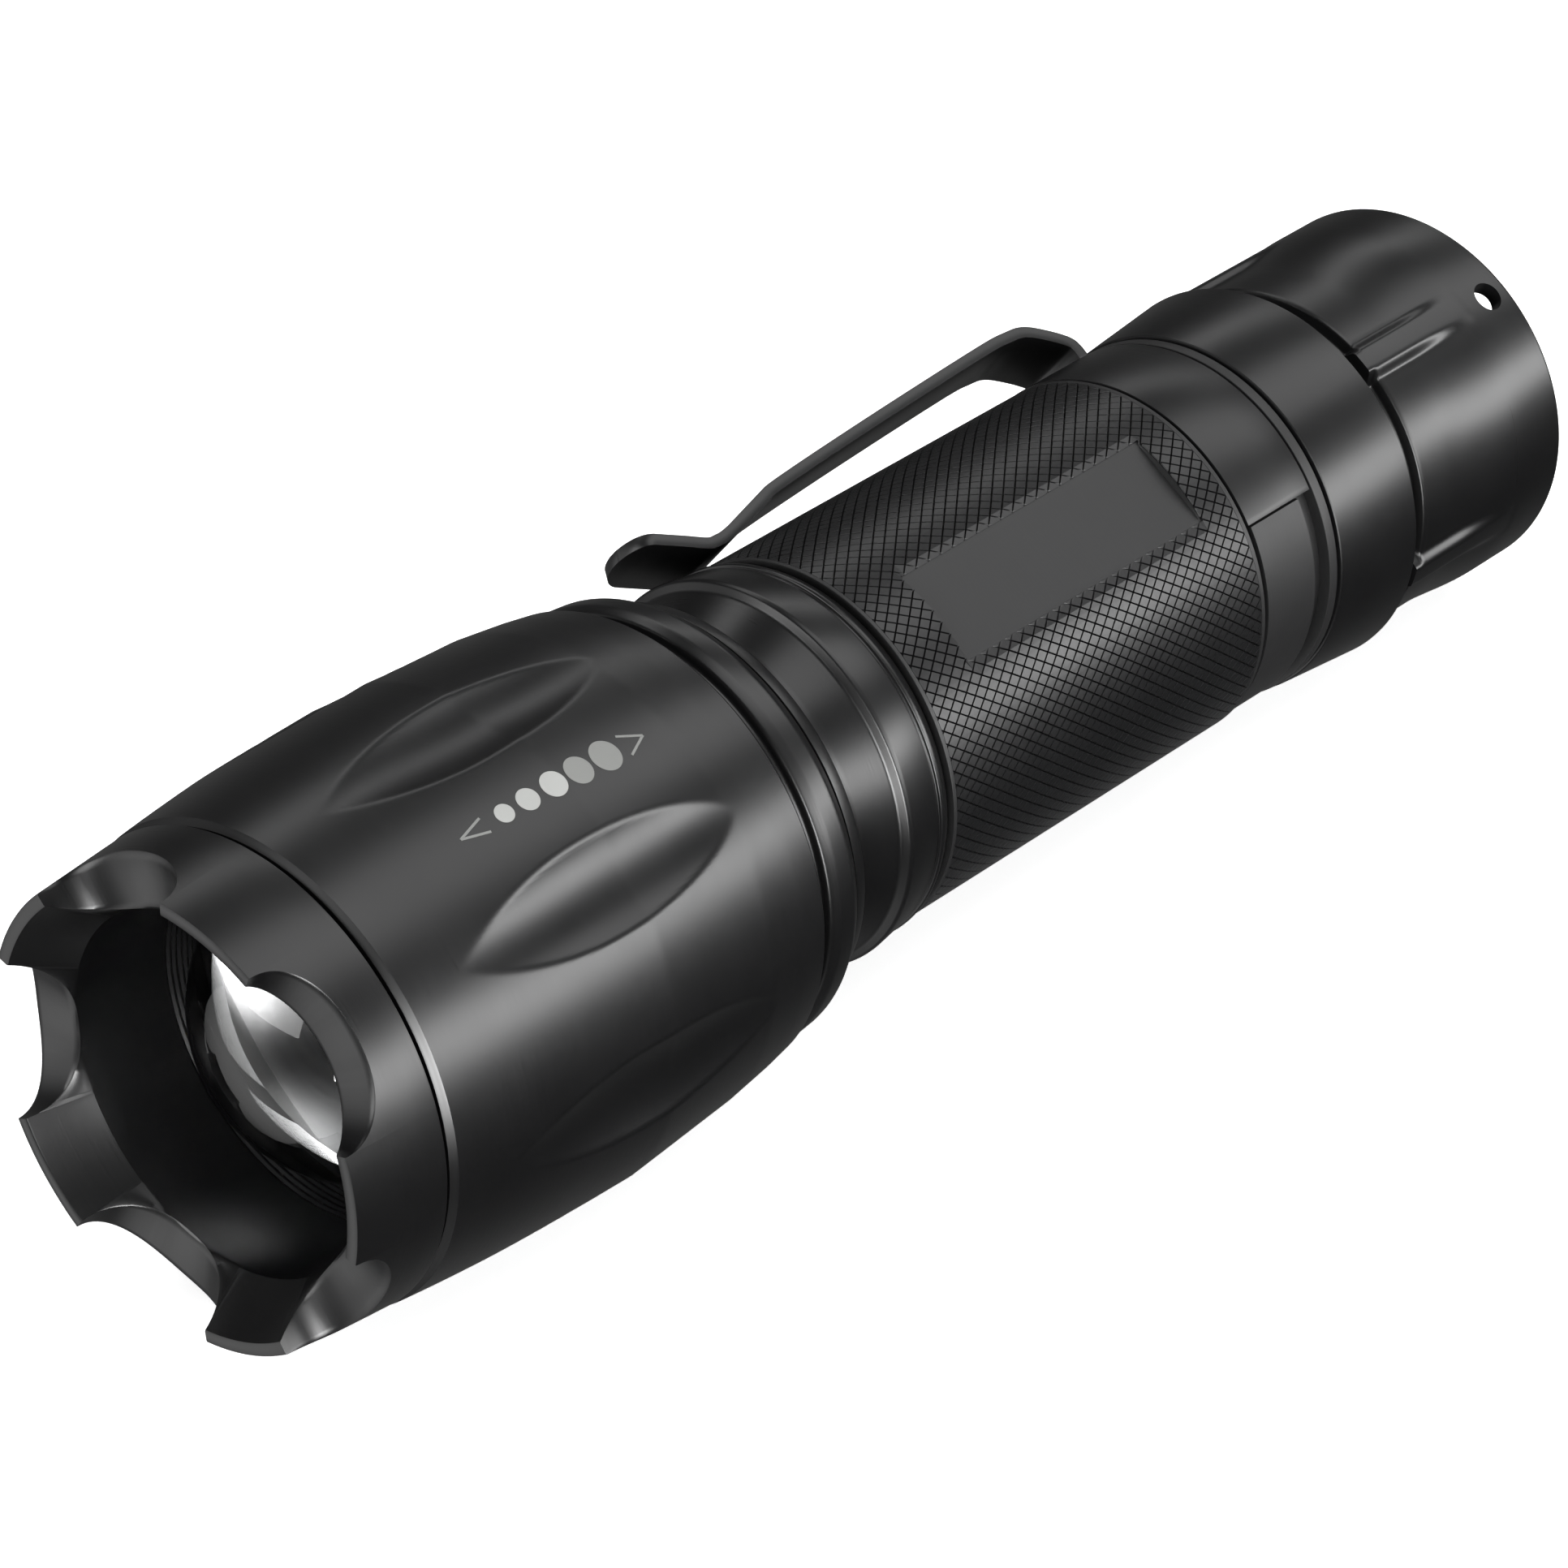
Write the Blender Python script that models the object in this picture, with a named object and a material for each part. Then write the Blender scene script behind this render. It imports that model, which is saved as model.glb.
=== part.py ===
"""Zoom flashlight, lying on its side, built as an assembly of separate pieces.

Every turned piece is drawn along the flashlight's own axis in millimetres: z is the
distance from the tail end towards the beam, r the distance from the axis, and angles
run around the axis. An empty carries the whole assembly and lays that axis along Y,
with the beam towards -Y and the lowest point of the head at height 0.
"""
import math

import bmesh
import bpy
from mathutils import Matrix, Vector

MM = 0.001

# ---- clearances and clocking -------------------------------------------------
GAP = 0.3                 # between pieces that touch on the real object
SLIP = 0.3                # radial gap of a sliding or threaded fit
SEAL_SQUEEZE = 0.25       # gap left around each O-ring in its groove
PANEL_ANGLE = 55.6        # label flat on the tube; a second one is opposite
CLIP_ANGLE = 142.0
SCALLOP_ANGLE = 39.0
DIMPLE_ANGLE = 39.5
RIB_ANGLE = 56.0
FINE = 48                 # segments of the outer pieces
MIDDLE = 36               # segments of large pieces that are mostly covered
COARSE = 20               # segments of the inner pieces

# ---- tail cap ----------------------------------------------------------------
TUBE_R = 14.37            # outside of the battery tube; the cap and collars follow it
TUBE_BORE_R = 10.6
CAP_LENGTH = 27.2
CAP_RIM_R = TUBE_R + 0.53
CAP_RIM_LENGTH = 5.2
CAP_RIM_EDGE = 0.6
CAP_RAMP = 1.4            # from the rim down to the ribbed body
CAP_BODY_R = TUBE_R - 0.07
CAP_RING_LENGTH = 8.9     # smooth front ring with the step behind it
CAP_STEP_WIDTH = 0.6
CAP_STEP_R = TUBE_R - 0.57
CAP_RING_R = TUBE_R + 0.93
CAP_FRONT_R = TUBE_R + 0.13
CAP_SKIRT_R = TUBE_BORE_R + 1.8    # inside of the open skirt around the button
CAP_SKIRT_DEPTH = 4.2
CAP_WEB = 1.8
CAP_BOOT_HOLE_R = 7.3
CAP_SWITCH_R = TUBE_BORE_R + 0.6
CAP_THREAD_R = TUBE_BORE_R + 2.3
RIB_COUNT = 5
RIB_R = TUBE_R + 0.58
RIB_HALF_ANGLE = 5.0
LANYARD_ANGLE = 54.0
LANYARD_Z = 2.4
LANYARD_R = 1.2

# ---- switch ------------------------------------------------------------------
BOOT_FLANGE = 1.0
BOOT_WALL = 1.0
BOOT_TOP_Z = 1.0
HOUSING_LENGTH = 7.0
HOUSING_FLOOR = 1.6
PLUNGER_R = 4.3
PLUNGER_HEAD = 1.2
PLUNGER_STEM_R = 1.6
PLUNGER_TRAVEL = 1.8
RETURN_WIRE_R = 0.22
SWITCH_BOARD = 1.2
RETAINER = 1.8
RETAINER_HOLE_R = 7.5
WRENCH_HOLE_R = 0.8

# ---- battery tube ------------------------------------------------------------
TUBE_COLLAR = 0.9         # plain ring between the cap and the clip's groove
CLIP_GROOVE = 7.8
CLIP_GROOVE_R = TUBE_R - 1.02
GRIP_REAR = 3.6           # grip behind the label flats
PANEL_LENGTH = 26.2
PANEL_DISTANCE = TUBE_R - 0.7      # from the axis to the flat
PANEL_RUNOUT = 0.25
GRIP_FRONT = 5.2          # grip in front of the label flats
TUBE_SOCKET_R = TUBE_BORE_R + 2.0  # front bore that takes the head core
TUBE_SOCKET_DEPTH = 7.7
SEAL_WIRE_R = 0.45
SEAL_GROOVE = 1.4
SEAL_SETBACK = 1.8        # from a thread's end to the middle of its O-ring

# ---- pocket clip -------------------------------------------------------------
CLIP_SHEET = 0.75
CLIP_BAND_HALF_ANGLE = 110.0
CLIP_ARM_WIDTH = 6.5
CLIP_ARM_SHEET = 0.9
CLIP_ARM_R = TUBE_R + 3.73         # middle of the sheet where the arm leaves the shoulder
CLIP_KNEE_R = TUBE_R + 2.43
CLIP_TIP_R = TUBE_R + 3.63
CLIP_ARM_REACH = 49.0     # from the band to the tip of the curl

# ---- cell --------------------------------------------------------------------
CELL_LENGTH = 65.0
CELL_R = 9.2
CELL_EDGE = 0.5
CELL_NUB_R = 3.2
CELL_NUB = 0.9
SLEEVE_WALL = 0.8
TAIL_WIRE_R = 0.4

# ---- head core ---------------------------------------------------------------
COLLAR_R = TUBE_R + 0.28
COLLAR_RIM = 1.2
BAND_R = TUBE_R + 0.63
BAND_LENGTH = 5.2
BAND_TAPER = 3.1
CORE_THREAD_R = TUBE_BORE_R + 1.4
NECK_R = CORE_THREAD_R + 1.0
NECK_SHOWN = 2.5          # neck between the taper and the sleeve when zoomed in
STOP_LENGTH = 4.2
ZOOM_TRAVEL = 14.0

# ---- LED and driver ----------------------------------------------------------
PILL_R = TUBE_BORE_R - SLIP
PILL_WALL = 1.0
PILL_LENGTH = 15.5
PILL_FLOOR = 2.8
BOARD_R = PILL_R - 1.3
BOARD = 1.4
STAR_R = 7.8
STAR = 1.4
LED_SIDE = 5.0
LED_HEIGHT = 0.8
LED_DOME_R = 2.1
WIRE_R = 0.4
WIRE_CIRCLE = 8.5
DRIVER_WIRE_R = 0.35

# ---- zoom head ---------------------------------------------------------------
HEAD_LENGTH = 42.4
HEAD_LIP_R = 15.8
HEAD_BEAD_R = 16.9
HEAD_GROOVE_R = 16.3
HEAD_BODY_R = 17.8
BELLY_R = 19.1
HEAD_FRONT_R = 17.85
HEAD_WALL_REAR = 8.0      # solid rear part that slides on the neck
HEAD_CAVITY_R = NECK_R + 2.4
WIPER_SETBACK = 4.0
LENS_SEAT = 1.7
LENS_SEAT_R = 12.4
DIMPLE_COUNT = 8
DIMPLE_HALF_ANGLE = 12.0
DIMPLE_DEPTH = 1.1

# ---- lens and bezel ----------------------------------------------------------
LENS_STANDOFF = 5.1       # from the core's front to the lens
LENS_FLANGE = 1.8
LENS_FLANGE_R = 13.2
LENS_DOME_R = 11.9
LENS_DOME = 11.2
GASKET = 0.8
BEZEL_LENGTH = 8.0
BEZEL_CONE = 3.9
BEZEL_REAR_R = 17.7
BEZEL_FRONT_R = 17.1
BEZEL_RIM = 1.0
BEZEL_BORE_R = LENS_FLANGE_R + 0.2
BEZEL_STEM_R = BEZEL_BORE_R + 1.9
SCALLOP_COUNT = 5
SCALLOP_HALF_ANGLE = 22.0
SCALLOP_DEPTH = 3.7

# ---- worked out from the values above, from the tail end to the bezel ---------
WEB_FRONT_Z = CAP_SKIRT_DEPTH + CAP_WEB
BOOT_Z = WEB_FRONT_Z + GAP
HOUSING_Z = BOOT_Z + BOOT_FLANGE + GAP
SWITCH_BOARD_Z = HOUSING_Z + HOUSING_LENGTH + GAP
RETAINER_Z = SWITCH_BOARD_Z + SWITCH_BOARD + GAP
CAP_THREAD_Z = RETAINER_Z - 0.5
TUBE_REAR_Z = RETAINER_Z + RETAINER + 1.2
CAP_STEP_Z = CAP_LENGTH - CAP_RING_LENGTH
TUBE_COLLAR_END = CAP_LENGTH + GAP + TUBE_COLLAR
CLIP_GROOVE_END = TUBE_COLLAR_END + CLIP_GROOVE
PANEL_START = CLIP_GROOVE_END + GRIP_REAR
PANEL_END = PANEL_START + PANEL_LENGTH
TUBE_FRONT_Z = PANEL_END + GRIP_FRONT
CELL_Z = TUBE_REAR_Z + 2.6
CELL_FRONT_Z = CELL_Z + CELL_LENGTH
CORE_REAR_Z = TUBE_FRONT_Z - TUBE_SOCKET_DEPTH + GAP
COLLAR_Z = TUBE_FRONT_Z + GAP
BAND_END = TUBE_FRONT_Z + BAND_LENGTH
NECK_START = BAND_END + BAND_TAPER
HEAD_REAR_Z = NECK_START + NECK_SHOWN
HEAD_FRONT_Z = HEAD_REAR_Z + HEAD_LENGTH
HEAD_GROOVE_Z = HEAD_REAR_Z + 5.4
HEAD_BODY_Z = HEAD_GROOVE_Z + 1.0
HEAD_CAVITY_Z = HEAD_REAR_Z + HEAD_WALL_REAR
BELLY_Z = HEAD_REAR_Z + 22.6
DIMPLE_START = HEAD_BODY_Z + 5.5
DIMPLE_END = HEAD_FRONT_Z - 4.7
WIPER_Z = HEAD_REAR_Z + WIPER_SETBACK
STOP_Z = HEAD_CAVITY_Z + ZOOM_TRAVEL + GAP
STOP_R = HEAD_CAVITY_R - SLIP
CORE_FRONT_Z = STOP_Z + STOP_LENGTH - 0.1
PILL_FRONT_Z = CORE_FRONT_Z - 0.9
PILL_REAR_Z = PILL_FRONT_Z - PILL_LENGTH
BOARD_Z = PILL_REAR_Z + GAP
STAR_Z = PILL_FRONT_Z + GAP
LED_Z = STAR_Z + STAR + GAP
LENS_Z = CORE_FRONT_Z + LENS_STANDOFF
LENS_SEAT_Z = LENS_Z - GAP - LENS_SEAT
LENS_BORE_R = LENS_FLANGE_R + SLIP
GASKET_Z = LENS_Z + LENS_FLANGE + GAP
STEM_Z = GASKET_Z + GASKET + GAP
HEAD_STEM_R = BEZEL_STEM_R + SLIP
BEZEL_Z = HEAD_FRONT_Z + GAP
BEZEL_FRONT_Z = HEAD_FRONT_Z + BEZEL_LENGTH
BEZEL_CONE_Z = BEZEL_FRONT_Z - BEZEL_CONE
SLEEVE_R = TUBE_BORE_R - SLIP
REAR_THREAD_R = CAP_THREAD_R - SLIP - 0.1
FRONT_THREAD_R = TUBE_SOCKET_R - SLIP - 0.1
REAR_SEAL_Z = CAP_LENGTH - SEAL_SETBACK
FRONT_SEAL_Z = TUBE_FRONT_Z - SEAL_SETBACK


def clear_scene():
    """Remove whatever the file opened with."""
    for item in list(bpy.data.objects):
        bpy.data.objects.remove(item, do_unlink=True)


def make_material(name, colour, roughness, metallic):
    """A Principled material of one colour."""
    material = bpy.data.materials.new(name)
    material.use_nodes = True
    shader = material.node_tree.nodes["Principled BSDF"]
    shader.inputs["Base Color"].default_value = (*colour, 1.0)
    shader.inputs["Roughness"].default_value = roughness
    shader.inputs["Metallic"].default_value = metallic
    material.diffuse_color = (*colour, 1.0)
    return material


def add_piece(name, mesh_data, material, parent, turn=0.0):
    """Turn a bmesh, drawn in mm along the axis, into a named object in metres."""
    bmesh.ops.scale(mesh_data, vec=(MM, MM, MM), verts=mesh_data.verts)
    bmesh.ops.recalc_face_normals(mesh_data, faces=mesh_data.faces)
    mesh = bpy.data.meshes.new(name)
    mesh_data.to_mesh(mesh)
    mesh_data.free()
    mesh.shade_smooth()
    mesh.set_sharp_from_angle(angle=math.radians(28))
    mesh.materials.append(material)
    piece = bpy.data.objects.new(name, mesh)
    bpy.context.scene.collection.objects.link(piece)
    piece.parent = parent
    piece.rotation_euler = (0.0, 0.0, math.radians(turn))
    return piece


def add_cutter(name, mesh_data, parent, target, operation="DIFFERENCE"):
    """A hidden helper solid, used by a Boolean modifier on its target."""
    cutter = add_piece(name, mesh_data, target.data.materials[0], parent)
    cutter.hide_render = True
    cutter.display_type = "WIRE"
    modifier = target.modifiers.new(name, "BOOLEAN")
    modifier.operation = operation
    modifier.solver = "EXACT"
    modifier.object = cutter
    return cutter


def even_angles(count, start=0.0):
    """Angles in degrees, evenly spaced all the way round."""
    return [start + 360.0 * k / count for k in range(count)]


def repeated_angles(count, centre, offsets):
    """The same offsets, in degrees, around each of several evenly spaced centres."""
    return [centre + 360.0 * k / count + offset for k in range(count) for offset in offsets]


def from_centre(angle, count, centre):
    """Signed degrees from the nearest of several evenly spaced centres."""
    step = 360.0 / count
    return (angle - centre + step / 2) % step - step / 2


def turned(loop, angles, shape=None):
    """A closed outline of (z, r) turned about the axis. shape may move a point at an angle.

    An outline that starts and ends at r = 0 closes on the axis.
    """
    mesh_data = bmesh.new()
    rings = []
    for z, r in loop:
        if r == 0.0:
            rings.append([mesh_data.verts.new((0.0, 0.0, z))])
            continue
        ring = []
        for angle in angles:
            z_at, r_at = shape(z, r, angle) if shape else (z, r)
            a = math.radians(angle)
            ring.append(mesh_data.verts.new((r_at * math.cos(a), r_at * math.sin(a), z_at)))
        rings.append(ring)
    count = len(angles)
    pairs = list(zip(rings, rings[1:]))
    if len(rings[0]) > 1:
        pairs.append((rings[-1], rings[0]))
    for low, high in pairs:
        for k in range(count):
            n = (k + 1) % count
            corners = [low[k % len(low)], low[n % len(low)], high[n % len(high)], high[k % len(high)]]
            unique = [v for i, v in enumerate(corners) if v not in corners[:i]]
            mesh_data.faces.new(unique)
    return mesh_data


def tube_along(points, radius, sides=6):
    """A round wire along a list of points, closed at both ends."""
    mesh_data = bmesh.new()
    path = [Vector(p) for p in points]
    rings = []
    across = None
    for i, point in enumerate(path):
        ahead = path[min(i + 1, len(path) - 1)] - path[max(i - 1, 0)]
        ahead.normalize()
        if across is None:
            across = ahead.orthogonal().normalized()
        across = (across - ahead * across.dot(ahead)).normalized()
        other = ahead.cross(across)
        ring = []
        for k in range(sides):
            a = 2 * math.pi * k / sides
            ring.append(mesh_data.verts.new(point + radius * (math.cos(a) * across + math.sin(a) * other)))
        rings.append(ring)
    for low, high in zip(rings, rings[1:]):
        for k in range(sides):
            n = (k + 1) % sides
            mesh_data.faces.new((low[k], low[n], high[n], high[k]))
    mesh_data.faces.new(rings[0])
    mesh_data.faces.new(rings[-1])
    return mesh_data


def coil(z_start, z_end, radius_start, radius_end, wire_r, turns, steps=10):
    """A compression spring whose first and last turns lie flat."""
    points = []
    total = int(turns * steps)
    low = z_start + wire_r
    high = z_end - wire_r
    pitch = (high - low - 2 * 2.2 * wire_r) / (turns - 2)
    for i in range(total + 1):
        turn = i / steps
        closed = 2.2 * wire_r
        z = low + min(turn, 1.0) * closed + max(0.0, min(turn, turns - 1) - 1.0) * pitch
        z += max(0.0, turn - (turns - 1)) * closed
        r = radius_start + (radius_end - radius_start) * i / total
        a = 2 * math.pi * turn
        points.append((r * math.cos(a), r * math.sin(a), z))
    return tube_along(points, wire_r, sides=5)


def ring_seal(z, middle_r, wire_r=SEAL_WIRE_R, sides=6):
    """An O-ring: a round section turned about the axis."""
    loop = []
    for k in range(sides):
        a = 2 * math.pi * k / sides
        loop.append((z + wire_r * math.cos(a), middle_r + wire_r * math.sin(a)))
    return turned(loop, even_angles(COARSE))


def box(size_x, size_y, z_low, z_high, centre=(0.0, 0.0)):
    """A straight block between two heights."""
    mesh_data = bmesh.new()
    bmesh.ops.create_cube(mesh_data, size=1.0)
    bmesh.ops.scale(mesh_data, vec=(size_x, size_y, z_high - z_low), verts=mesh_data.verts)
    middle = Vector((centre[0], centre[1], (z_low + z_high) / 2))
    bmesh.ops.translate(mesh_data, vec=middle, verts=mesh_data.verts)
    return mesh_data


def rod(start, end, radius, sides=20):
    """A straight round bar between two points."""
    return tube_along([start, end], radius, sides)


def polar(radius, angle, z):
    """A point in mm at a radius, an angle in degrees and a height along the axis."""
    a = math.radians(angle)
    return (radius * math.cos(a), radius * math.sin(a), z)


# ---- tail: cap, boot, switch ---------------------------------------------------

def tail_cap(material, parent):
    """Cap with a scooped rim, five grip ribs and an open skirt around the button."""
    step_front = CAP_STEP_Z + CAP_STEP_WIDTH
    ramp = CAP_RIM_LENGTH + CAP_RAMP
    loop = [
        (0.0, CAP_SKIRT_R),
        (0.0, CAP_RIM_R - CAP_RIM_EDGE),
        (CAP_RIM_EDGE, CAP_RIM_R),
        (CAP_RIM_LENGTH, CAP_RIM_R),
        (ramp, CAP_BODY_R),
        (CAP_STEP_Z, CAP_BODY_R),
        (CAP_STEP_Z, CAP_STEP_R),
        (step_front, CAP_STEP_R),
        (step_front, CAP_RING_R - 0.2),
        (step_front + 0.4, CAP_RING_R),
        (CAP_LENGTH - 0.3, CAP_FRONT_R),
        (CAP_LENGTH, CAP_FRONT_R - 0.3),
        (CAP_LENGTH, CAP_THREAD_R),
        (CAP_THREAD_Z, CAP_THREAD_R),
        (CAP_THREAD_Z, CAP_SWITCH_R),
        (WEB_FRONT_Z, CAP_SWITCH_R),
        (WEB_FRONT_Z, CAP_BOOT_HOLE_R),
        (CAP_SKIRT_DEPTH, CAP_BOOT_HOLE_R),
        (CAP_SKIRT_DEPTH, CAP_SKIRT_R),
    ]

    def ribbed(z, r, angle):
        on_rib = abs(from_centre(angle, RIB_COUNT, RIB_ANGLE)) <= RIB_HALF_ANGLE + 0.01
        if on_rib and r == CAP_BODY_R and ramp <= z <= CAP_STEP_Z:
            return z, RIB_R
        return z, r

    edge = RIB_HALF_ANGLE
    offsets = [-edge - 1.5, -edge, 0.0, edge, edge + 1.5, 18.0, 27.0, 36.0, 45.0, 54.0]
    cap = add_piece("tail_cap", turned(loop, repeated_angles(RIB_COUNT, RIB_ANGLE, offsets), ribbed),
                    material, parent)
    hole = rod(polar(CAP_SKIRT_R - 1.5, LANYARD_ANGLE, LANYARD_Z),
               polar(CAP_RIM_R + 1.5, LANYARD_ANGLE, LANYARD_Z), LANYARD_R, sides=14)
    add_cutter("lanyard_hole_cutter", hole, parent, cap)


def rubber_boot(material, parent):
    """Domed rubber cover over the switch, held by its flange."""
    outer = CAP_BOOT_HOLE_R - SLIP
    shoulder = CAP_SKIRT_DEPTH - 0.6
    front = BOOT_Z + BOOT_FLANGE
    inner = outer - BOOT_WALL
    loop = [
        (BOOT_TOP_Z, 0.0),
        (BOOT_TOP_Z + 0.15, 0.45 * outer),
        (BOOT_TOP_Z + 0.9, 0.85 * outer),
        (shoulder, outer),
        (BOOT_Z, outer),
        (BOOT_Z, CAP_SWITCH_R - SLIP),
        (front, CAP_SWITCH_R - SLIP),
        (front, inner),
        (shoulder + 0.2, inner),
        (BOOT_TOP_Z + BOOT_WALL + 0.4, 0.6 * outer),
        (BOOT_TOP_Z + BOOT_WALL, 0.0),
    ]
    add_piece("rubber_boot", turned(loop, even_angles(COARSE)), material, parent)


def switch_housing(material, parent):
    """Moulded body with a stepped bore for the plunger and its spring."""
    front = HOUSING_Z + HOUSING_LENGTH
    shelf = front - HOUSING_FLOOR
    loop = [
        (HOUSING_Z, PLUNGER_R + SLIP),
        (HOUSING_Z, CAP_SWITCH_R - SLIP),
        (front, CAP_SWITCH_R - SLIP),
        (front, PLUNGER_STEM_R + SLIP),
        (shelf, PLUNGER_STEM_R + SLIP),
        (shelf, PLUNGER_R + SLIP),
    ]
    add_piece("switch_housing", turned(loop, even_angles(COARSE)), material, parent)


def plunger_base():
    """Height where the plunger's head ends and its stem starts."""
    return HOUSING_Z + PLUNGER_HEAD


def switch_plunger(material, parent):
    """Button under the boot, with a stem that reaches through the housing's floor."""
    top = BOOT_TOP_Z + BOOT_WALL + GAP
    base = plunger_base()
    stem_end = HOUSING_Z + HOUSING_LENGTH - PLUNGER_TRAVEL - GAP
    loop = [
        (top, 0.0),
        (top, 0.5 * PLUNGER_R),
        (top + 0.9, 0.75 * PLUNGER_R),
        (top + 1.6, 0.8 * PLUNGER_R),
        (HOUSING_Z - 0.6, 0.8 * PLUNGER_R),
        (HOUSING_Z, PLUNGER_R),
        (base, PLUNGER_R),
        (base, PLUNGER_STEM_R),
        (stem_end, PLUNGER_STEM_R),
        (stem_end, 0.0),
    ]
    add_piece("switch_plunger", turned(loop, even_angles(COARSE)), material, parent)


def switch_spring(material, parent):
    """Return spring around the plunger's stem."""
    start = plunger_base() + GAP
    end = HOUSING_Z + HOUSING_LENGTH - HOUSING_FLOOR - GAP
    middle = (PLUNGER_STEM_R + PLUNGER_R + SLIP) / 2
    add_piece("switch_return_spring", coil(start, end, middle, middle, RETURN_WIRE_R, 4), material, parent)


def switch_board(material, parent):
    """Round board that closes the front of the switch."""
    board = turned([(SWITCH_BOARD_Z, 0.0), (SWITCH_BOARD_Z, CAP_SWITCH_R - SLIP),
                    (SWITCH_BOARD_Z + SWITCH_BOARD, CAP_SWITCH_R - SLIP),
                    (SWITCH_BOARD_Z + SWITCH_BOARD, 0.0)], even_angles(COARSE))
    add_piece("switch_contact_board", board, material, parent)


def switch_retainer(material, parent):
    """Threaded ring that holds the switch in the cap, with two pin-wrench holes."""
    front = RETAINER_Z + RETAINER
    outer = CAP_THREAD_R - SLIP
    ring = turned([(RETAINER_Z, RETAINER_HOLE_R), (RETAINER_Z, outer), (front, outer),
                   (front, RETAINER_HOLE_R)], even_angles(COARSE))
    piece = add_piece("switch_retaining_ring", ring, material, parent)
    middle = (RETAINER_HOLE_R + outer) / 2
    for k in range(2):
        angle = 180.0 * k
        hole = rod(polar(middle, angle, RETAINER_Z - 1.0), polar(middle, angle, front + 1.0), WRENCH_HOLE_R,
                   sides=10)
        add_cutter("wrench_hole_cutter_%d" % k, hole, parent, piece)


def tail_spring(material, parent):
    """Conical spring that presses on the cell's flat end."""
    start = SWITCH_BOARD_Z + SWITCH_BOARD + GAP
    add_piece("tail_contact_spring", coil(start, CELL_Z - GAP, 5.6, 3.6, TAIL_WIRE_R, 4), material, parent)


# ---- tube, clip, cell ----------------------------------------------------------

def seal_groove(z, surface_r, wire_r=SEAL_WIRE_R):
    """Outline of an outside groove for an O-ring, from low z to high z."""
    floor = surface_r - 2 * wire_r - SEAL_SQUEEZE + 0.15
    half = SEAL_GROOVE / 2
    return [(z - half, surface_r), (z - half, floor), (z + half, floor), (z + half, surface_r)]


def seal_middle(surface_r, wire_r=SEAL_WIRE_R):
    """Radius of an O-ring's centre line in such a groove."""
    return surface_r - wire_r + 0.13


def battery_tube(material, parent):
    """Tube with a rear thread, the clip's groove, two label flats and a front socket."""
    collar = CAP_LENGTH + GAP
    loop = [
        (TUBE_REAR_Z, TUBE_BORE_R),
        (TUBE_REAR_Z, REAR_THREAD_R - 0.4),
        (TUBE_REAR_Z + 0.4, REAR_THREAD_R),
        *seal_groove(REAR_SEAL_Z, REAR_THREAD_R),
        (collar, REAR_THREAD_R),
        (collar, TUBE_R),
        (TUBE_COLLAR_END, TUBE_R),
        (TUBE_COLLAR_END, CLIP_GROOVE_R),
        (CLIP_GROOVE_END, CLIP_GROOVE_R),
        (CLIP_GROOVE_END, TUBE_R),
        (PANEL_START, TUBE_R),
        (PANEL_START + PANEL_RUNOUT, TUBE_R),
        (PANEL_END - PANEL_RUNOUT, TUBE_R),
        (PANEL_END, TUBE_R),
        (TUBE_FRONT_Z, TUBE_R),
        (TUBE_FRONT_Z, TUBE_SOCKET_R),
        (TUBE_FRONT_Z - TUBE_SOCKET_DEPTH, TUBE_SOCKET_R),
        (TUBE_FRONT_Z - TUBE_SOCKET_DEPTH, TUBE_BORE_R),
    ]

    def flattened(z, r, angle):
        aside = abs(from_centre(angle, 2, PANEL_ANGLE))
        inside = PANEL_START < z < PANEL_END and r == TUBE_R
        if inside and aside < 60.0:
            return z, min(r, PANEL_DISTANCE / math.cos(math.radians(aside)))
        return z, r

    tube = turned(loop, even_angles(FINE, PANEL_ANGLE), flattened)
    add_piece("battery_tube", tube, material, parent)


def clip_route():
    """Middle of the clip's sheet as (z, r): riser, shoulder, arm, valley and curl."""
    z0 = TUBE_COLLAR_END + GAP + CLIP_ARM_SHEET / 2
    touch = TUBE_R + GAP + CLIP_ARM_SHEET / 2
    tip = z0 + CLIP_ARM_REACH
    return [
        (z0, CLIP_GROOVE_R + GAP + 0.1),
        (z0, TUBE_R + 1.23),
        (z0 + 0.7, TUBE_R + 2.73),
        (z0 + 2.2, CLIP_ARM_R - 0.15),
        (z0 + 5.0, CLIP_ARM_R),
        (z0 + 19.0, CLIP_ARM_R + (CLIP_KNEE_R - CLIP_ARM_R) * 0.48),
        (tip - 16.6, CLIP_KNEE_R),
        (tip - 13.2, TUBE_R + 1.53),
        (tip - 10.4, touch + 0.12),
        (tip - 9.0, touch),
        (tip - 7.6, touch + 0.25),
        (tip - 5.4, TUBE_R + 2.03),
        (tip - 3.2, TUBE_R + 3.23),
        (tip - 1.4, CLIP_TIP_R),
        (tip - 0.3, CLIP_TIP_R - 0.25),
        (tip, CLIP_TIP_R - 0.9),
    ]


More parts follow.
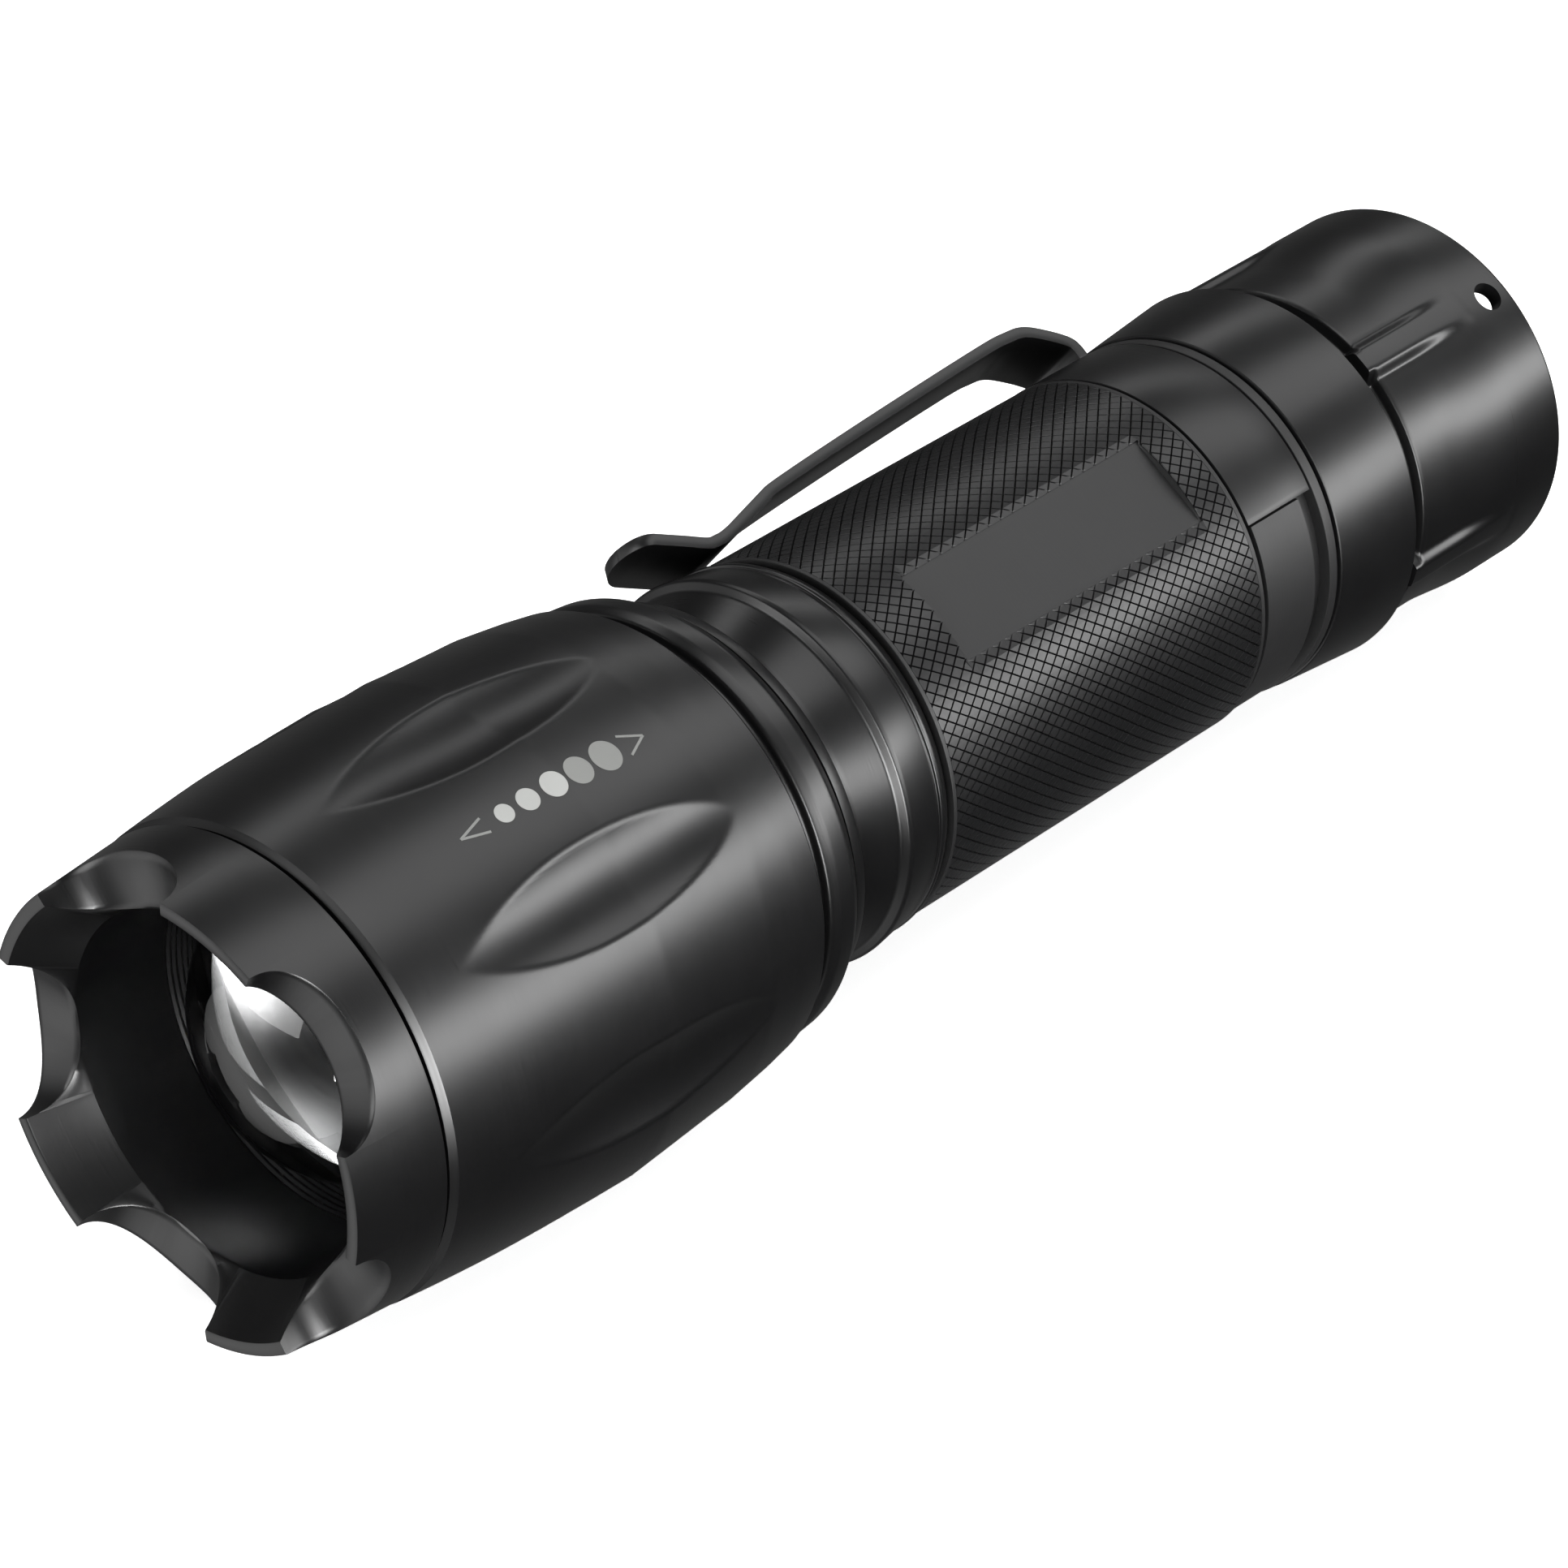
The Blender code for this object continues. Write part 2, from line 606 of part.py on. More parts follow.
def ribbon(route, thickness, width):
    """A strip of sheet that follows (z, r) points, width across, standing at angle 0."""
    mesh_data = bmesh.new()
    half = thickness / 2
    sections = []
    for i, (z, r) in enumerate(route):
        z_a, r_a = route[max(i - 1, 0)]
        z_b, r_b = route[min(i + 1, len(route) - 1)]
        length = math.hypot(z_b - z_a, r_b - r_a)
        n_z, n_r = -(r_b - r_a) / length, (z_b - z_a) / length
        section = []
        for side, across in ((-1, -1), (1, -1), (1, 1), (-1, 1)):
            section.append(mesh_data.verts.new((r + side * half * n_r, across * width / 2,
                                                z + side * half * n_z)))
        sections.append(section)
    for low, high in zip(sections, sections[1:]):
        for k in range(4):
            n = (k + 1) % 4
            mesh_data.faces.new((low[k], low[n], high[n], high[k]))
    mesh_data.faces.new(sections[0])
    mesh_data.faces.new(sections[-1])
    return mesh_data


def pocket_clip(material, parent):
    """One piece of spring sheet: a C-band in the tube's groove, with the arm rising from it."""
    inner = CLIP_GROOVE_R + GAP
    outer = inner + CLIP_SHEET
    low = TUBE_COLLAR_END + GAP
    high = CLIP_GROOVE_END - GAP
    band = bmesh.new()
    steps = 30
    sections = []
    for k in range(steps + 1):
        angle = CLIP_ANGLE + CLIP_BAND_HALF_ANGLE * (2 * k / steps - 1)
        corners = [(inner, low), (outer, low), (outer, high), (inner, high)]
        sections.append([band.verts.new(polar(r, angle, z)) for r, z in corners])
    for first, second in zip(sections, sections[1:]):
        for k in range(4):
            n = (k + 1) % 4
            band.faces.new((first[k], first[n], second[n], second[k]))
    band.faces.new(sections[0])
    band.faces.new(sections[-1])
    clip = add_piece("pocket_clip", band, material, parent)
    arm = ribbon(clip_route(), CLIP_ARM_SHEET, CLIP_ARM_WIDTH)
    bmesh.ops.rotate(arm, cent=(0, 0, 0), matrix=Matrix.Rotation(math.radians(CLIP_ANGLE), 3, "Z"),
                     verts=arm.verts)
    add_cutter("clip_arm_joiner", arm, parent, clip, "UNION")


def battery_cell(material, parent):
    """Rechargeable cell with a raised positive end."""
    edge = CELL_EDGE
    loop = [
        (CELL_Z, 0.0),
        (CELL_Z, CELL_R - edge),
        (CELL_Z + edge, CELL_R),
        (CELL_FRONT_Z - edge, CELL_R),
        (CELL_FRONT_Z, CELL_R - edge),
        (CELL_FRONT_Z, CELL_NUB_R),
        (CELL_FRONT_Z + CELL_NUB, CELL_NUB_R - 0.3),
        (CELL_FRONT_Z + CELL_NUB, 0.0),
    ]
    add_piece("battery_cell", turned(loop, even_angles(COARSE)), material, parent)


def cell_ring(material, parent):
    """Insulating washer around the cell's positive end."""
    low = CELL_FRONT_Z + GAP
    ring = turned([(low, CELL_NUB_R + GAP), (low, CELL_R - 1.0), (low + 0.35, CELL_R - 1.0),
                   (low + 0.35, CELL_NUB_R + GAP)], even_angles(COARSE))
    add_piece("cell_insulator_ring", ring, material, parent)


def battery_sleeve(material, parent):
    """Plastic sleeve that centres the slim cell in the wide tube."""
    low, high = CELL_Z + 2.0, CELL_FRONT_Z - 3.0
    inner = SLEEVE_R - SLEEVE_WALL
    tube = turned([(low, inner), (low, SLEEVE_R), (high, SLEEVE_R), (high, inner)], even_angles(COARSE))
    add_piece("battery_sleeve", tube, material, parent)


# ---- head core, LED and driver -------------------------------------------------

def head_core(material, parent):
    """Inner barrel: thread into the tube, collar, and the neck that the sleeve slides on."""
    rim_end = COLLAR_Z + COLLAR_RIM
    loop = [
        (CORE_REAR_Z, TUBE_BORE_R),
        (CORE_REAR_Z, FRONT_THREAD_R),
        *seal_groove(FRONT_SEAL_Z, FRONT_THREAD_R),
        (COLLAR_Z, FRONT_THREAD_R),
        (COLLAR_Z, COLLAR_R - 0.2),
        (COLLAR_Z + 0.2, COLLAR_R),
        (rim_end, COLLAR_R),
        (rim_end + 0.2, COLLAR_R - 0.4),
        (BAND_END - 1.5, BAND_R - 0.12),
        (BAND_END, BAND_R),
        (BAND_END + 0.6, BAND_R - 0.7),
        (NECK_START, NECK_R),
        (STOP_Z - GAP, NECK_R),
        (STOP_Z - GAP, CORE_THREAD_R),
        (CORE_FRONT_Z, CORE_THREAD_R),
        (CORE_FRONT_Z, TUBE_BORE_R),
    ]
    add_piece("head_core", turned(loop, even_angles(FINE)), material, parent)


def stop_ring(material, parent):
    """Ring on the core's front thread: it guides the sleeve and ends its travel."""
    inner = CORE_THREAD_R + SLIP
    front = STOP_Z + STOP_LENGTH
    loop = [
        (STOP_Z, inner),
        (STOP_Z, STOP_R),
        *seal_groove(STOP_Z + STOP_LENGTH / 2, STOP_R),
        (front, STOP_R),
        (front, inner),
    ]
    add_piece("travel_stop_ring", turned(loop, even_angles(MIDDLE)), material, parent)


def led_pill(material, parent):
    """Heat-sink cup: the driver sits in its open rear, the LED on its closed front."""
    inner = PILL_R - PILL_WALL
    floor = PILL_FRONT_Z - PILL_FLOOR
    loop = [
        (PILL_REAR_Z, inner),
        (PILL_REAR_Z, PILL_R),
        (PILL_FRONT_Z, PILL_R),
        (PILL_FRONT_Z, 0.0),
    ]
    cup = turned([(floor, 0.0), (floor, inner), *loop], even_angles(COARSE))
    piece = add_piece("led_pill", cup, material, parent)
    for k in range(2):
        hole = rod(polar(WIRE_CIRCLE, 180.0 * k + 90.0, floor - 1.0),
                   polar(WIRE_CIRCLE, 180.0 * k + 90.0, PILL_FRONT_Z + 1.0), WIRE_R + GAP, sides=10)
        add_cutter("wire_hole_cutter_%d" % k, hole, parent, piece)


def disc(name, low, high, radius, material, parent):
    """A plain round board."""
    solid = turned([(low, 0.0), (low, radius), (high, radius), (high, 0.0)], even_angles(COARSE))
    add_piece(name, solid, material, parent)


def driver_parts(board_material, part_material, spring_material, wire_materials, parent):
    """Driver board, its two tall components, contact spring and LED wires."""
    board_front = BOARD_Z + BOARD
    disc("driver_board", BOARD_Z, board_front, BOARD_R, board_material, parent)
    chip = box(4.6, 3.6, board_front + GAP, board_front + GAP + 1.5, centre=(-2.6, 0.0))
    add_piece("driver_chip", chip, part_material, parent)
    inductor = turned([(board_front + GAP, 0.0), (board_front + GAP, 2.6), (board_front + 1.2, 1.9),
                       (board_front + 2.8, 1.9), (board_front + 3.6, 2.6), (board_front + 3.6, 0.0)],
                      even_angles(12))
    bmesh.ops.translate(inductor, vec=(3.6, 0.0, 0.0), verts=inductor.verts)
    add_piece("driver_inductor", inductor, part_material, parent)
    spring = coil(CELL_FRONT_Z + CELL_NUB + GAP, BOARD_Z - GAP, 2.2, 4.6, DRIVER_WIRE_R, 3.5)
    add_piece("driver_contact_spring", spring, spring_material, parent)
    names = ("led_wire_positive", "led_wire_negative")
    turn_z = STAR_Z + STAR + GAP + WIRE_R
    for name, angle, material in zip(names, (90.0, 270.0), wire_materials):
        route = [
            polar(WIRE_CIRCLE, angle, board_front + GAP),
            polar(WIRE_CIRCLE, angle, turn_z - 0.5),
            polar(WIRE_CIRCLE - 0.15, angle, turn_z - 0.15),
            polar(WIRE_CIRCLE - 0.5, angle, turn_z),
            polar(WIRE_CIRCLE - 1.4, angle, turn_z),
        ]
        add_piece(name, tube_along(route, WIRE_R, sides=8), material, parent)


def led_parts(star_material, chip_material, dome_material, ring_material, parent):
    """Star board, LED package with its dome, and the ring that centres it."""
    disc("led_star_board", STAR_Z, STAR_Z + STAR, STAR_R, star_material, parent)
    add_piece("led_package", box(LED_SIDE, LED_SIDE, LED_Z, LED_Z + LED_HEIGHT), chip_material, parent)
    base = LED_Z + LED_HEIGHT + GAP
    loop = [(base, 0.0)]
    for k in range(6):
        a = math.radians(90.0 * k / 5)
        loop.append((base + LED_DOME_R * math.sin(a) * 0.8, LED_DOME_R * math.cos(a) if k < 5 else 0.0))
    add_piece("led_dome", turned(loop, even_angles(16)), dome_material, parent)
    inner = LED_SIDE * math.sqrt(0.5) + 2 * GAP
    ring = turned([(LED_Z, inner), (LED_Z, 6.3), (LED_Z + 0.9, 6.3), (LED_Z + 1.5, inner)],
                  even_angles(COARSE))
    add_piece("led_centring_ring", ring, ring_material, parent)


# ---- zoom head -----------------------------------------------------------------

def head_sleeve(material, parent):
    """Sliding sleeve with a beaded rear collar, a rounded belly and long finger dimples."""
    bore = NECK_R + SLIP
    half = SEAL_GROOVE / 2
    groove_floor = bore + 2 * SEAL_WIRE_R + SEAL_SQUEEZE - 0.15
    bead_start = HEAD_REAR_Z + 1.6
    bead_end = HEAD_GROOVE_Z - 0.6
    rise, fall = BELLY_R - HEAD_BODY_R, BELLY_R - HEAD_FRONT_R
    to_belly, from_belly = BELLY_Z - DIMPLE_START, DIMPLE_END - BELLY_Z
    dimple_rows = [(DIMPLE_START + along * to_belly, HEAD_BODY_R + share * rise)
                   for along, share in ((0.0, 0.423), (0.15, 0.538), (0.477, 0.808), (1.0, 1.0))]
    dimple_rows += [(BELLY_Z + along * from_belly, HEAD_FRONT_R + share * fall)
                    for along, share in ((0.258, 0.96), (0.556, 0.76), (0.854, 0.44), (1.0, 0.28))]
    loop = [
        (HEAD_REAR_Z, bore),
        (HEAD_REAR_Z, HEAD_LIP_R - 0.3),
        (HEAD_REAR_Z + 0.3, HEAD_LIP_R),
        (HEAD_REAR_Z + 1.1, HEAD_LIP_R + 0.1),
        (bead_start, HEAD_LIP_R),
        (bead_start + 1.2, HEAD_BEAD_R),
        (bead_end, HEAD_BEAD_R + 0.2),
        (HEAD_GROOVE_Z, HEAD_GROOVE_R),
        (HEAD_BODY_Z - 0.2, HEAD_GROOVE_R),
        (HEAD_BODY_Z, HEAD_BODY_R),
        *dimple_rows,
        (HEAD_FRONT_Z - 0.3, HEAD_FRONT_R),
        (HEAD_FRONT_Z, HEAD_FRONT_R - 0.5),
        (HEAD_FRONT_Z, HEAD_STEM_R),
        (STEM_Z - GAP, HEAD_STEM_R),
        (STEM_Z - GAP, LENS_BORE_R),
        (LENS_SEAT_Z + LENS_SEAT, LENS_BORE_R),
        (LENS_SEAT_Z + LENS_SEAT, LENS_SEAT_R),
        (LENS_SEAT_Z, LENS_SEAT_R),
        (LENS_SEAT_Z, HEAD_CAVITY_R),
        (HEAD_CAVITY_Z, HEAD_CAVITY_R),
        (HEAD_CAVITY_Z, bore),
        (WIPER_Z + half, bore),
        (WIPER_Z + half, groove_floor),
        (WIPER_Z - half, groove_floor),
        (WIPER_Z - half, bore),
    ]
    middle = (DIMPLE_START + DIMPLE_END) / 2
    half_length = (DIMPLE_END - DIMPLE_START) / 2

    def dimpled(z, r, angle):
        along = (z - middle) / half_length
        around = from_centre(angle, DIMPLE_COUNT, DIMPLE_ANGLE) / DIMPLE_HALF_ANGLE
        inside = 1.0 - along * along - around * around
        if r < HEAD_CAVITY_R + 1.0 or inside <= 0.0:
            return z, r
        return z, r - DIMPLE_DEPTH * inside

    sleeve = turned(loop, even_angles(FINE, DIMPLE_ANGLE), dimpled)
    return add_piece("head_sleeve", sleeve, material, parent)


def bezel_ring(material, parent):
    """Front ring with five scallops, an inward cone and a stem that clamps the lens."""
    cone_slope = (BEZEL_FRONT_R - BEZEL_RIM - BEZEL_BORE_R) / (BEZEL_FRONT_Z - BEZEL_CONE_Z)
    loop = [
        (STEM_Z, BEZEL_BORE_R),
        (STEM_Z, BEZEL_STEM_R),
        (BEZEL_Z, BEZEL_STEM_R),
        (BEZEL_Z, BEZEL_REAR_R - 0.4),
        (BEZEL_Z + 0.3, BEZEL_REAR_R),
        (BEZEL_FRONT_Z, BEZEL_FRONT_R),
        (BEZEL_FRONT_Z, BEZEL_FRONT_R - BEZEL_RIM),
        (BEZEL_CONE_Z, BEZEL_BORE_R),
    ]

    def scalloped(z, r, angle):
        aside = from_centre(angle, SCALLOP_COUNT, SCALLOP_ANGLE) / SCALLOP_HALF_ANGLE
        if z < BEZEL_FRONT_Z or abs(aside) >= 1.0:
            return z, r
        z_cut = z - SCALLOP_DEPTH * math.sqrt(1.0 - aside * aside)
        if r < BEZEL_FRONT_R:
            r -= (z - z_cut) * cone_slope
        return z_cut, r

    half = SCALLOP_HALF_ANGLE
    offsets = [half * math.sin(math.radians(90.0 * k / 4)) for k in range(-4, 5)]
    land = 360.0 / SCALLOP_COUNT - 2 * half
    offsets += [half + land / 3, half + 2 * land / 3]
    ring = turned(loop, repeated_angles(SCALLOP_COUNT, SCALLOP_ANGLE, offsets), scalloped)
    add_piece("bezel_ring", ring, material, parent)


def aspheric_lens(material, parent):
    """Thick condenser lens: flat rear, flange, tall dome."""
    base = LENS_Z + LENS_FLANGE
    loop = [(LENS_Z, 0.0), (LENS_Z, LENS_FLANGE_R), (base, LENS_FLANGE_R)]
    for k in range(7):
        a = math.radians(90.0 * k / 6)
        loop.append((base + LENS_DOME * math.sin(a), LENS_DOME_R * math.cos(a) if k < 6 else 0.0))
    add_piece("aspheric_lens", turned(loop, even_angles(MIDDLE)), material, parent)


def lens_gasket(material, parent):
    """Flat rubber ring between the bezel's stem and the lens flange."""
    inner = LENS_DOME_R + GAP
    ring = turned([(GASKET_Z, inner), (GASKET_Z, LENS_FLANGE_R), (GASKET_Z + GASKET, LENS_FLANGE_R),
                   (GASKET_Z + GASKET, inner)], even_angles(MIDDLE))
    add_piece("lens_gasket", ring, material, parent)


def add_empty(name, parent=None):
    """A joint or assembly frame."""
    empty = bpy.data.objects.new(name, None)
    bpy.context.scene.collection.objects.link(empty)
    empty.parent = parent
    return empty


def lowest_point(root):
    """Height of the lowest vertex of the visible pieces under the assembly empty."""
    bpy.context.view_layer.update()
    heights = []
    for item in bpy.data.objects:
        if item.type == "MESH" and not item.hide_render:
            heights += [(item.matrix_world @ v.co).z for v in item.data.vertices]
    return min(heights)


def build():
    """Make every piece and lay the flashlight on its side."""
    clear_scene()
    anodised = make_material("black_anodised", (0.022, 0.022, 0.024), 0.36, 0.75)
    steel = make_material("black_spring_steel", (0.02, 0.02, 0.022), 0.42, 0.7)
    bright = make_material("spring_wire", (0.62, 0.60, 0.55), 0.3, 1.0)
    bare = make_material("bare_aluminium", (0.72, 0.73, 0.74), 0.35, 1.0)
    rubber = make_material("black_rubber", (0.018, 0.018, 0.018), 0.72, 0.0)
    plastic = make_material("black_plastic", (0.03, 0.03, 0.03), 0.5, 0.0)
    white = make_material("white_plastic", (0.8, 0.8, 0.78), 0.45, 0.0)
    glass = make_material("clear_lens", (0.85, 0.88, 0.9), 0.03, 0.0)
    phosphor = make_material("led_phosphor", (0.85, 0.72, 0.12), 0.5, 0.0)
    board = make_material("green_board", (0.02, 0.16, 0.07), 0.45, 0.0)
    wrap = make_material("cell_wrap", (0.05, 0.22, 0.55), 0.35, 0.0)
    red = make_material("red_wire", (0.5, 0.02, 0.02), 0.45, 0.0)

    root = add_empty("flashlight_frame")
    zoom = add_empty("zoom_frame", root)
    tail = add_empty("tail_frame", root)

    tail_cap(anodised, tail)
    rubber_boot(rubber, tail)
    switch_housing(plastic, tail)
    switch_plunger(plastic, tail)
    switch_spring(bright, tail)
    switch_board(board, tail)
    switch_retainer(bare, tail)
    tail_spring(bright, tail)

    battery_tube(anodised, root)
    pocket_clip(steel, root)
    battery_cell(wrap, root)
    cell_ring(white, root)
    battery_sleeve(white, root)
    head_core(anodised, root)
    stop_ring(anodised, root)
    led_pill(bare, root)
    driver_parts(board, plastic, bright, (red, rubber), root)
    led_parts(white, phosphor, glass, white, root)
    seals = (
        ("rear_tube_seal", REAR_SEAL_Z, seal_middle(REAR_THREAD_R), root),
        ("front_tube_seal", FRONT_SEAL_Z, seal_middle(FRONT_THREAD_R), root),
        ("stop_ring_seal", STOP_Z + STOP_LENGTH / 2, seal_middle(STOP_R), root),
        ("neck_wiper_seal", WIPER_Z, NECK_R + SLIP + SEAL_WIRE_R - 0.13, zoom),
    )
    for name, z, middle_r, frame in seals:
        add_piece(name, ring_seal(z, middle_r), rubber, frame)

    head_sleeve(anodised, zoom)
    bezel_ring(anodised, zoom)
    aspheric_lens(glass, zoom)
    lens_gasket(rubber, zoom)

    root.rotation_euler = (math.radians(90.0), 0.0, 0.0)
    root.location = (0.0, BEZEL_FRONT_Z / 2 * MM, 0.0)
    root.location.z = -lowest_point(root)


build()
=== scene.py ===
"""Looks of the zoom flashlight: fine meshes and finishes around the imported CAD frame."""

import math

import bmesh
import bpy
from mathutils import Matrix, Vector


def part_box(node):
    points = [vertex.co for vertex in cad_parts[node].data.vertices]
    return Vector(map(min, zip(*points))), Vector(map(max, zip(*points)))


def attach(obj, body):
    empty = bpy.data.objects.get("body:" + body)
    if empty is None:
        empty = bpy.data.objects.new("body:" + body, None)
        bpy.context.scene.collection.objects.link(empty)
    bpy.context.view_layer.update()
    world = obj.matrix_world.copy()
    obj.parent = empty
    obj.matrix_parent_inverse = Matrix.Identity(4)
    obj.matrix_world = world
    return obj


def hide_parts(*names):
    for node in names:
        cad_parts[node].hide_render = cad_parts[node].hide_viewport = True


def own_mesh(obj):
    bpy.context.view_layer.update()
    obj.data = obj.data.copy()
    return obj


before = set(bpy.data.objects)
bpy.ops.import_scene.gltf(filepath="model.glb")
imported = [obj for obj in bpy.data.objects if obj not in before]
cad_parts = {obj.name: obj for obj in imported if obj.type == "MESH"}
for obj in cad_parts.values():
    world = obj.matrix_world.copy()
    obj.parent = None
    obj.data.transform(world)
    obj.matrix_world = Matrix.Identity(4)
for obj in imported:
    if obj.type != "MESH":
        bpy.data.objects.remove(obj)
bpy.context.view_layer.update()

MM = 0.001
TAIL_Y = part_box("tail_cap")[1].y                    # the tail end of the axis
CORE_LOW, CORE_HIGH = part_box("head_core")
AXIS_Z = (CORE_LOW.z + CORE_HIGH.z) / 2             # height of the axis
LENGTH = (TAIL_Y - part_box("bezel_ring")[0].y) / MM  # tail end to bezel, in mm


def along(y):
    """Distance in mm from the tail end to a world y."""
    return (TAIL_Y - y) / MM


def span(node):
    """Where a CAD node starts and ends along the axis, in mm from the tail end."""
    low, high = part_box(node)
    return along(high.y), along(low.y)


# ---- dimensions in mm and degrees, along the axis from the tail end ---------------
AROUND = 256              # segments of a plain turned surface
GAP = 0.3                 # kept between two pieces that meet
CELL_BORE_R = 10.6        # bore of the tube and the core
CAP_END = span("tail_cap")[1]
TUBE_END = span("battery_tube")[1]
HEAD_START, HEAD_END = span("head_sleeve")
STEM_START = span("bezel_ring")[0]
LENS_START, LENS_END = span("aspheric_lens")
PANEL_ANGLE = 55.6
PANEL_START, PANEL_END = 39.8, 66.0
PANEL_DISTANCE = 13.67
TUBE_R = 14.37
TUBE_SPIGOT_R = 12.5      # thread and bore at the tube's two ends
FRONT_BORE_R = 12.6
TUBE_SEAL_Z, TUBE_SEAL_HALF, TUBE_SEAL_R = 25.4, 0.7, 11.6
KNURL_START = 36.2
KNURL_DEPTH = 0.2
KNURL_STARTS = 88
KNURL_HELIX = 38.0
KNURL_LAND = 0.84         # share of a cell's pitch that stays flat
CLIP_ANGLE = 142.0
CLIP_START, CLIP_END = 28.7, 35.9
CLIP_BAND_IN_R, CLIP_BAND_OUT_R = 13.65, 14.4
CLIP_BAND_HALF = 110.0    # the C-band's reach to each side of the arm
CLIP_HALF_THICKNESS = 0.45
CLIP_HALF = 3.25
TIP_CORNER = 1.8          # length of the arm's rounded end
TIP_NARROWEST = 0.03      # squared share of the width that is left at the very end
GROOVE_FLOOR_R = 13.35    # clip's groove around the tube
GROOVE_LAND_R = 14.15     # its raised floor where the band leaves it open
GROOVE_LAND_HALF = 69.5
NECK_R, NECK_STOP_R = 13.0, 12.0
CORE_SPIGOT_R = 12.2
SLEEVE_BORE_R = 13.3
SLEEVE_CAVITY_R = 15.4    # space around the neck and its stop ring
STEM_BORE_R = 15.6        # takes the bezel's stem
LENS_BORE_R, LENS_STOP_R = 13.5, 12.4
WIPER_START, WIPER_END, WIPER_R = 3.3, 4.7, 14.3    # groove, from the sleeve's rear face
SHOULDER_R, WAIST_R, BELLY_R = 17.95, 18.42, 19.12
BELLY_Z = 104.6
DIMPLES, DIMPLE_ANGLE = 8, 39.5
DIMPLE_START, DIMPLE_END = 93.9, 119.7
DIMPLE_CUTTER = 8.8
DIMPLE_DEPTH = 0.95
DIMPLE_FRONT_TAPER, DIMPLE_REAR_TAPER = 1.9, 1.35
DIMPLE_EDGE = 0.07
SCALLOPS, SCALLOP_ANGLE = 5, 39.0
SCALLOP_HALF, SCALLOP_DEPTH = 22.0, 3.9
BEZEL_REAR_R, BEZEL_FRONT_R, BEZEL_RIM, BEZEL_BORE_R = 17.7, 17.1, 1.0, 13.4
BEZEL_CONE_Z = 128.5
BEZEL_STEM_R = 15.3
BEZEL_SEAM = 0.42         # visible joint between the sleeve and the bezel
THREADS, THREAD_PITCH, THREAD_DEPTH = 6, 0.5, 0.12
LENS_FLANGE, LENS_FLANGE_R, LENS_DOME_R = 1.8, 13.2, 11.9
RIBS, RIB_ANGLE, RIB_HALF, RIB_SIDE = 5, 56.0, 5.0, 4.0
RIB_START, RIB_END, RIB_R = 4.9, 17.6, 14.85
CAP_REAR_R, CAP_FRONT_R = 14.9, 14.3
CAP_RING_R, CAP_RING_END_R = 15.25, 14.52
CAP_GROOVE_START, CAP_GROOVE_END, CAP_GROOVE_R = 16.7, 18.9, 13.4
SKIRT_BORE_R, SKIRT_MOUTH_R = 12.4, 13.7
LANYARD_ANGLE, LANYARD_Z, LANYARD_R = 54.0, 2.4, 1.2
LANYARD_REACH = 2.2       # half of the cutter's length, across the skirt's wall
BOOT_R, BOOT_SEAT_Z, BOOT_TOP_Z = 7.0, 6.3, 1.0


# ---- mesh helpers ----------------------------------------------------------------

def to_world(x, y, z):
    """A point drawn along the axis, in mm, as a world point in metres."""
    return Vector((x * MM, TAIL_Y - z * MM, AXIS_Z + y * MM))


def polar(r, angle, z):
    """The world point at radius r, an angle in degrees and z along the axis."""
    a = math.radians(angle)
    return to_world(r * math.cos(a), r * math.sin(a), z)


def from_centre(angle, count, centre):
    """Signed degrees from the nearest of several evenly spaced centres."""
    step = 360.0 / count
    return (angle - centre + step / 2) % step - step / 2


def even_angles(count, start=0.0):
    return [start + 360.0 * k / count for k in range(count)]


def shade(mesh, sharp):
    """Smooth shading with creases where faces meet at more than some degrees."""
    mesh.shade_smooth()
    mesh.set_sharp_from_angle(angle=math.radians(sharp))


def add_object(name, mesh_data, material, sharp=28.0, smooth=True):
    """Turn a bmesh, already in world metres, into an object."""
    bmesh.ops.recalc_face_normals(mesh_data, faces=mesh_data.faces)
    mesh = bpy.data.meshes.new(name)
    mesh_data.to_mesh(mesh)
    mesh_data.free()
    if smooth:
        shade(mesh, sharp)
    mesh.materials.append(material)
    item = bpy.data.objects.new(name, mesh)
    bpy.context.scene.collection.objects.link(item)
    return item


def rounded(loop, radius=0.12, closed=True):
    """Replace each corner of a (z, r) outline by a short arc."""
    points = []
    count = len(loop)
    for i, (z, r) in enumerate(loop):
        if not closed and i in (0, count - 1):
            points.append((z, r))
            continue
        before, after = Vector(loop[i - 1]), Vector(loop[(i + 1) % count])
        corner = Vector((z, r))
        back, ahead = before - corner, after - corner
        turn = back.angle(-ahead, 0.0)
        if turn < math.radians(6):
            points.append((z, r))
            continue
        cut = min(radius, 0.45 * back.length, 0.45 * ahead.length)
        a, b = corner + back.normalized() * cut, corner + ahead.normalized() * cut
        for k in range(4):
            t = k / 3
            p = a * (1 - t) ** 2 + corner * 2 * t * (1 - t) + b * t * t
            points.append((p.x, p.y))
    return points


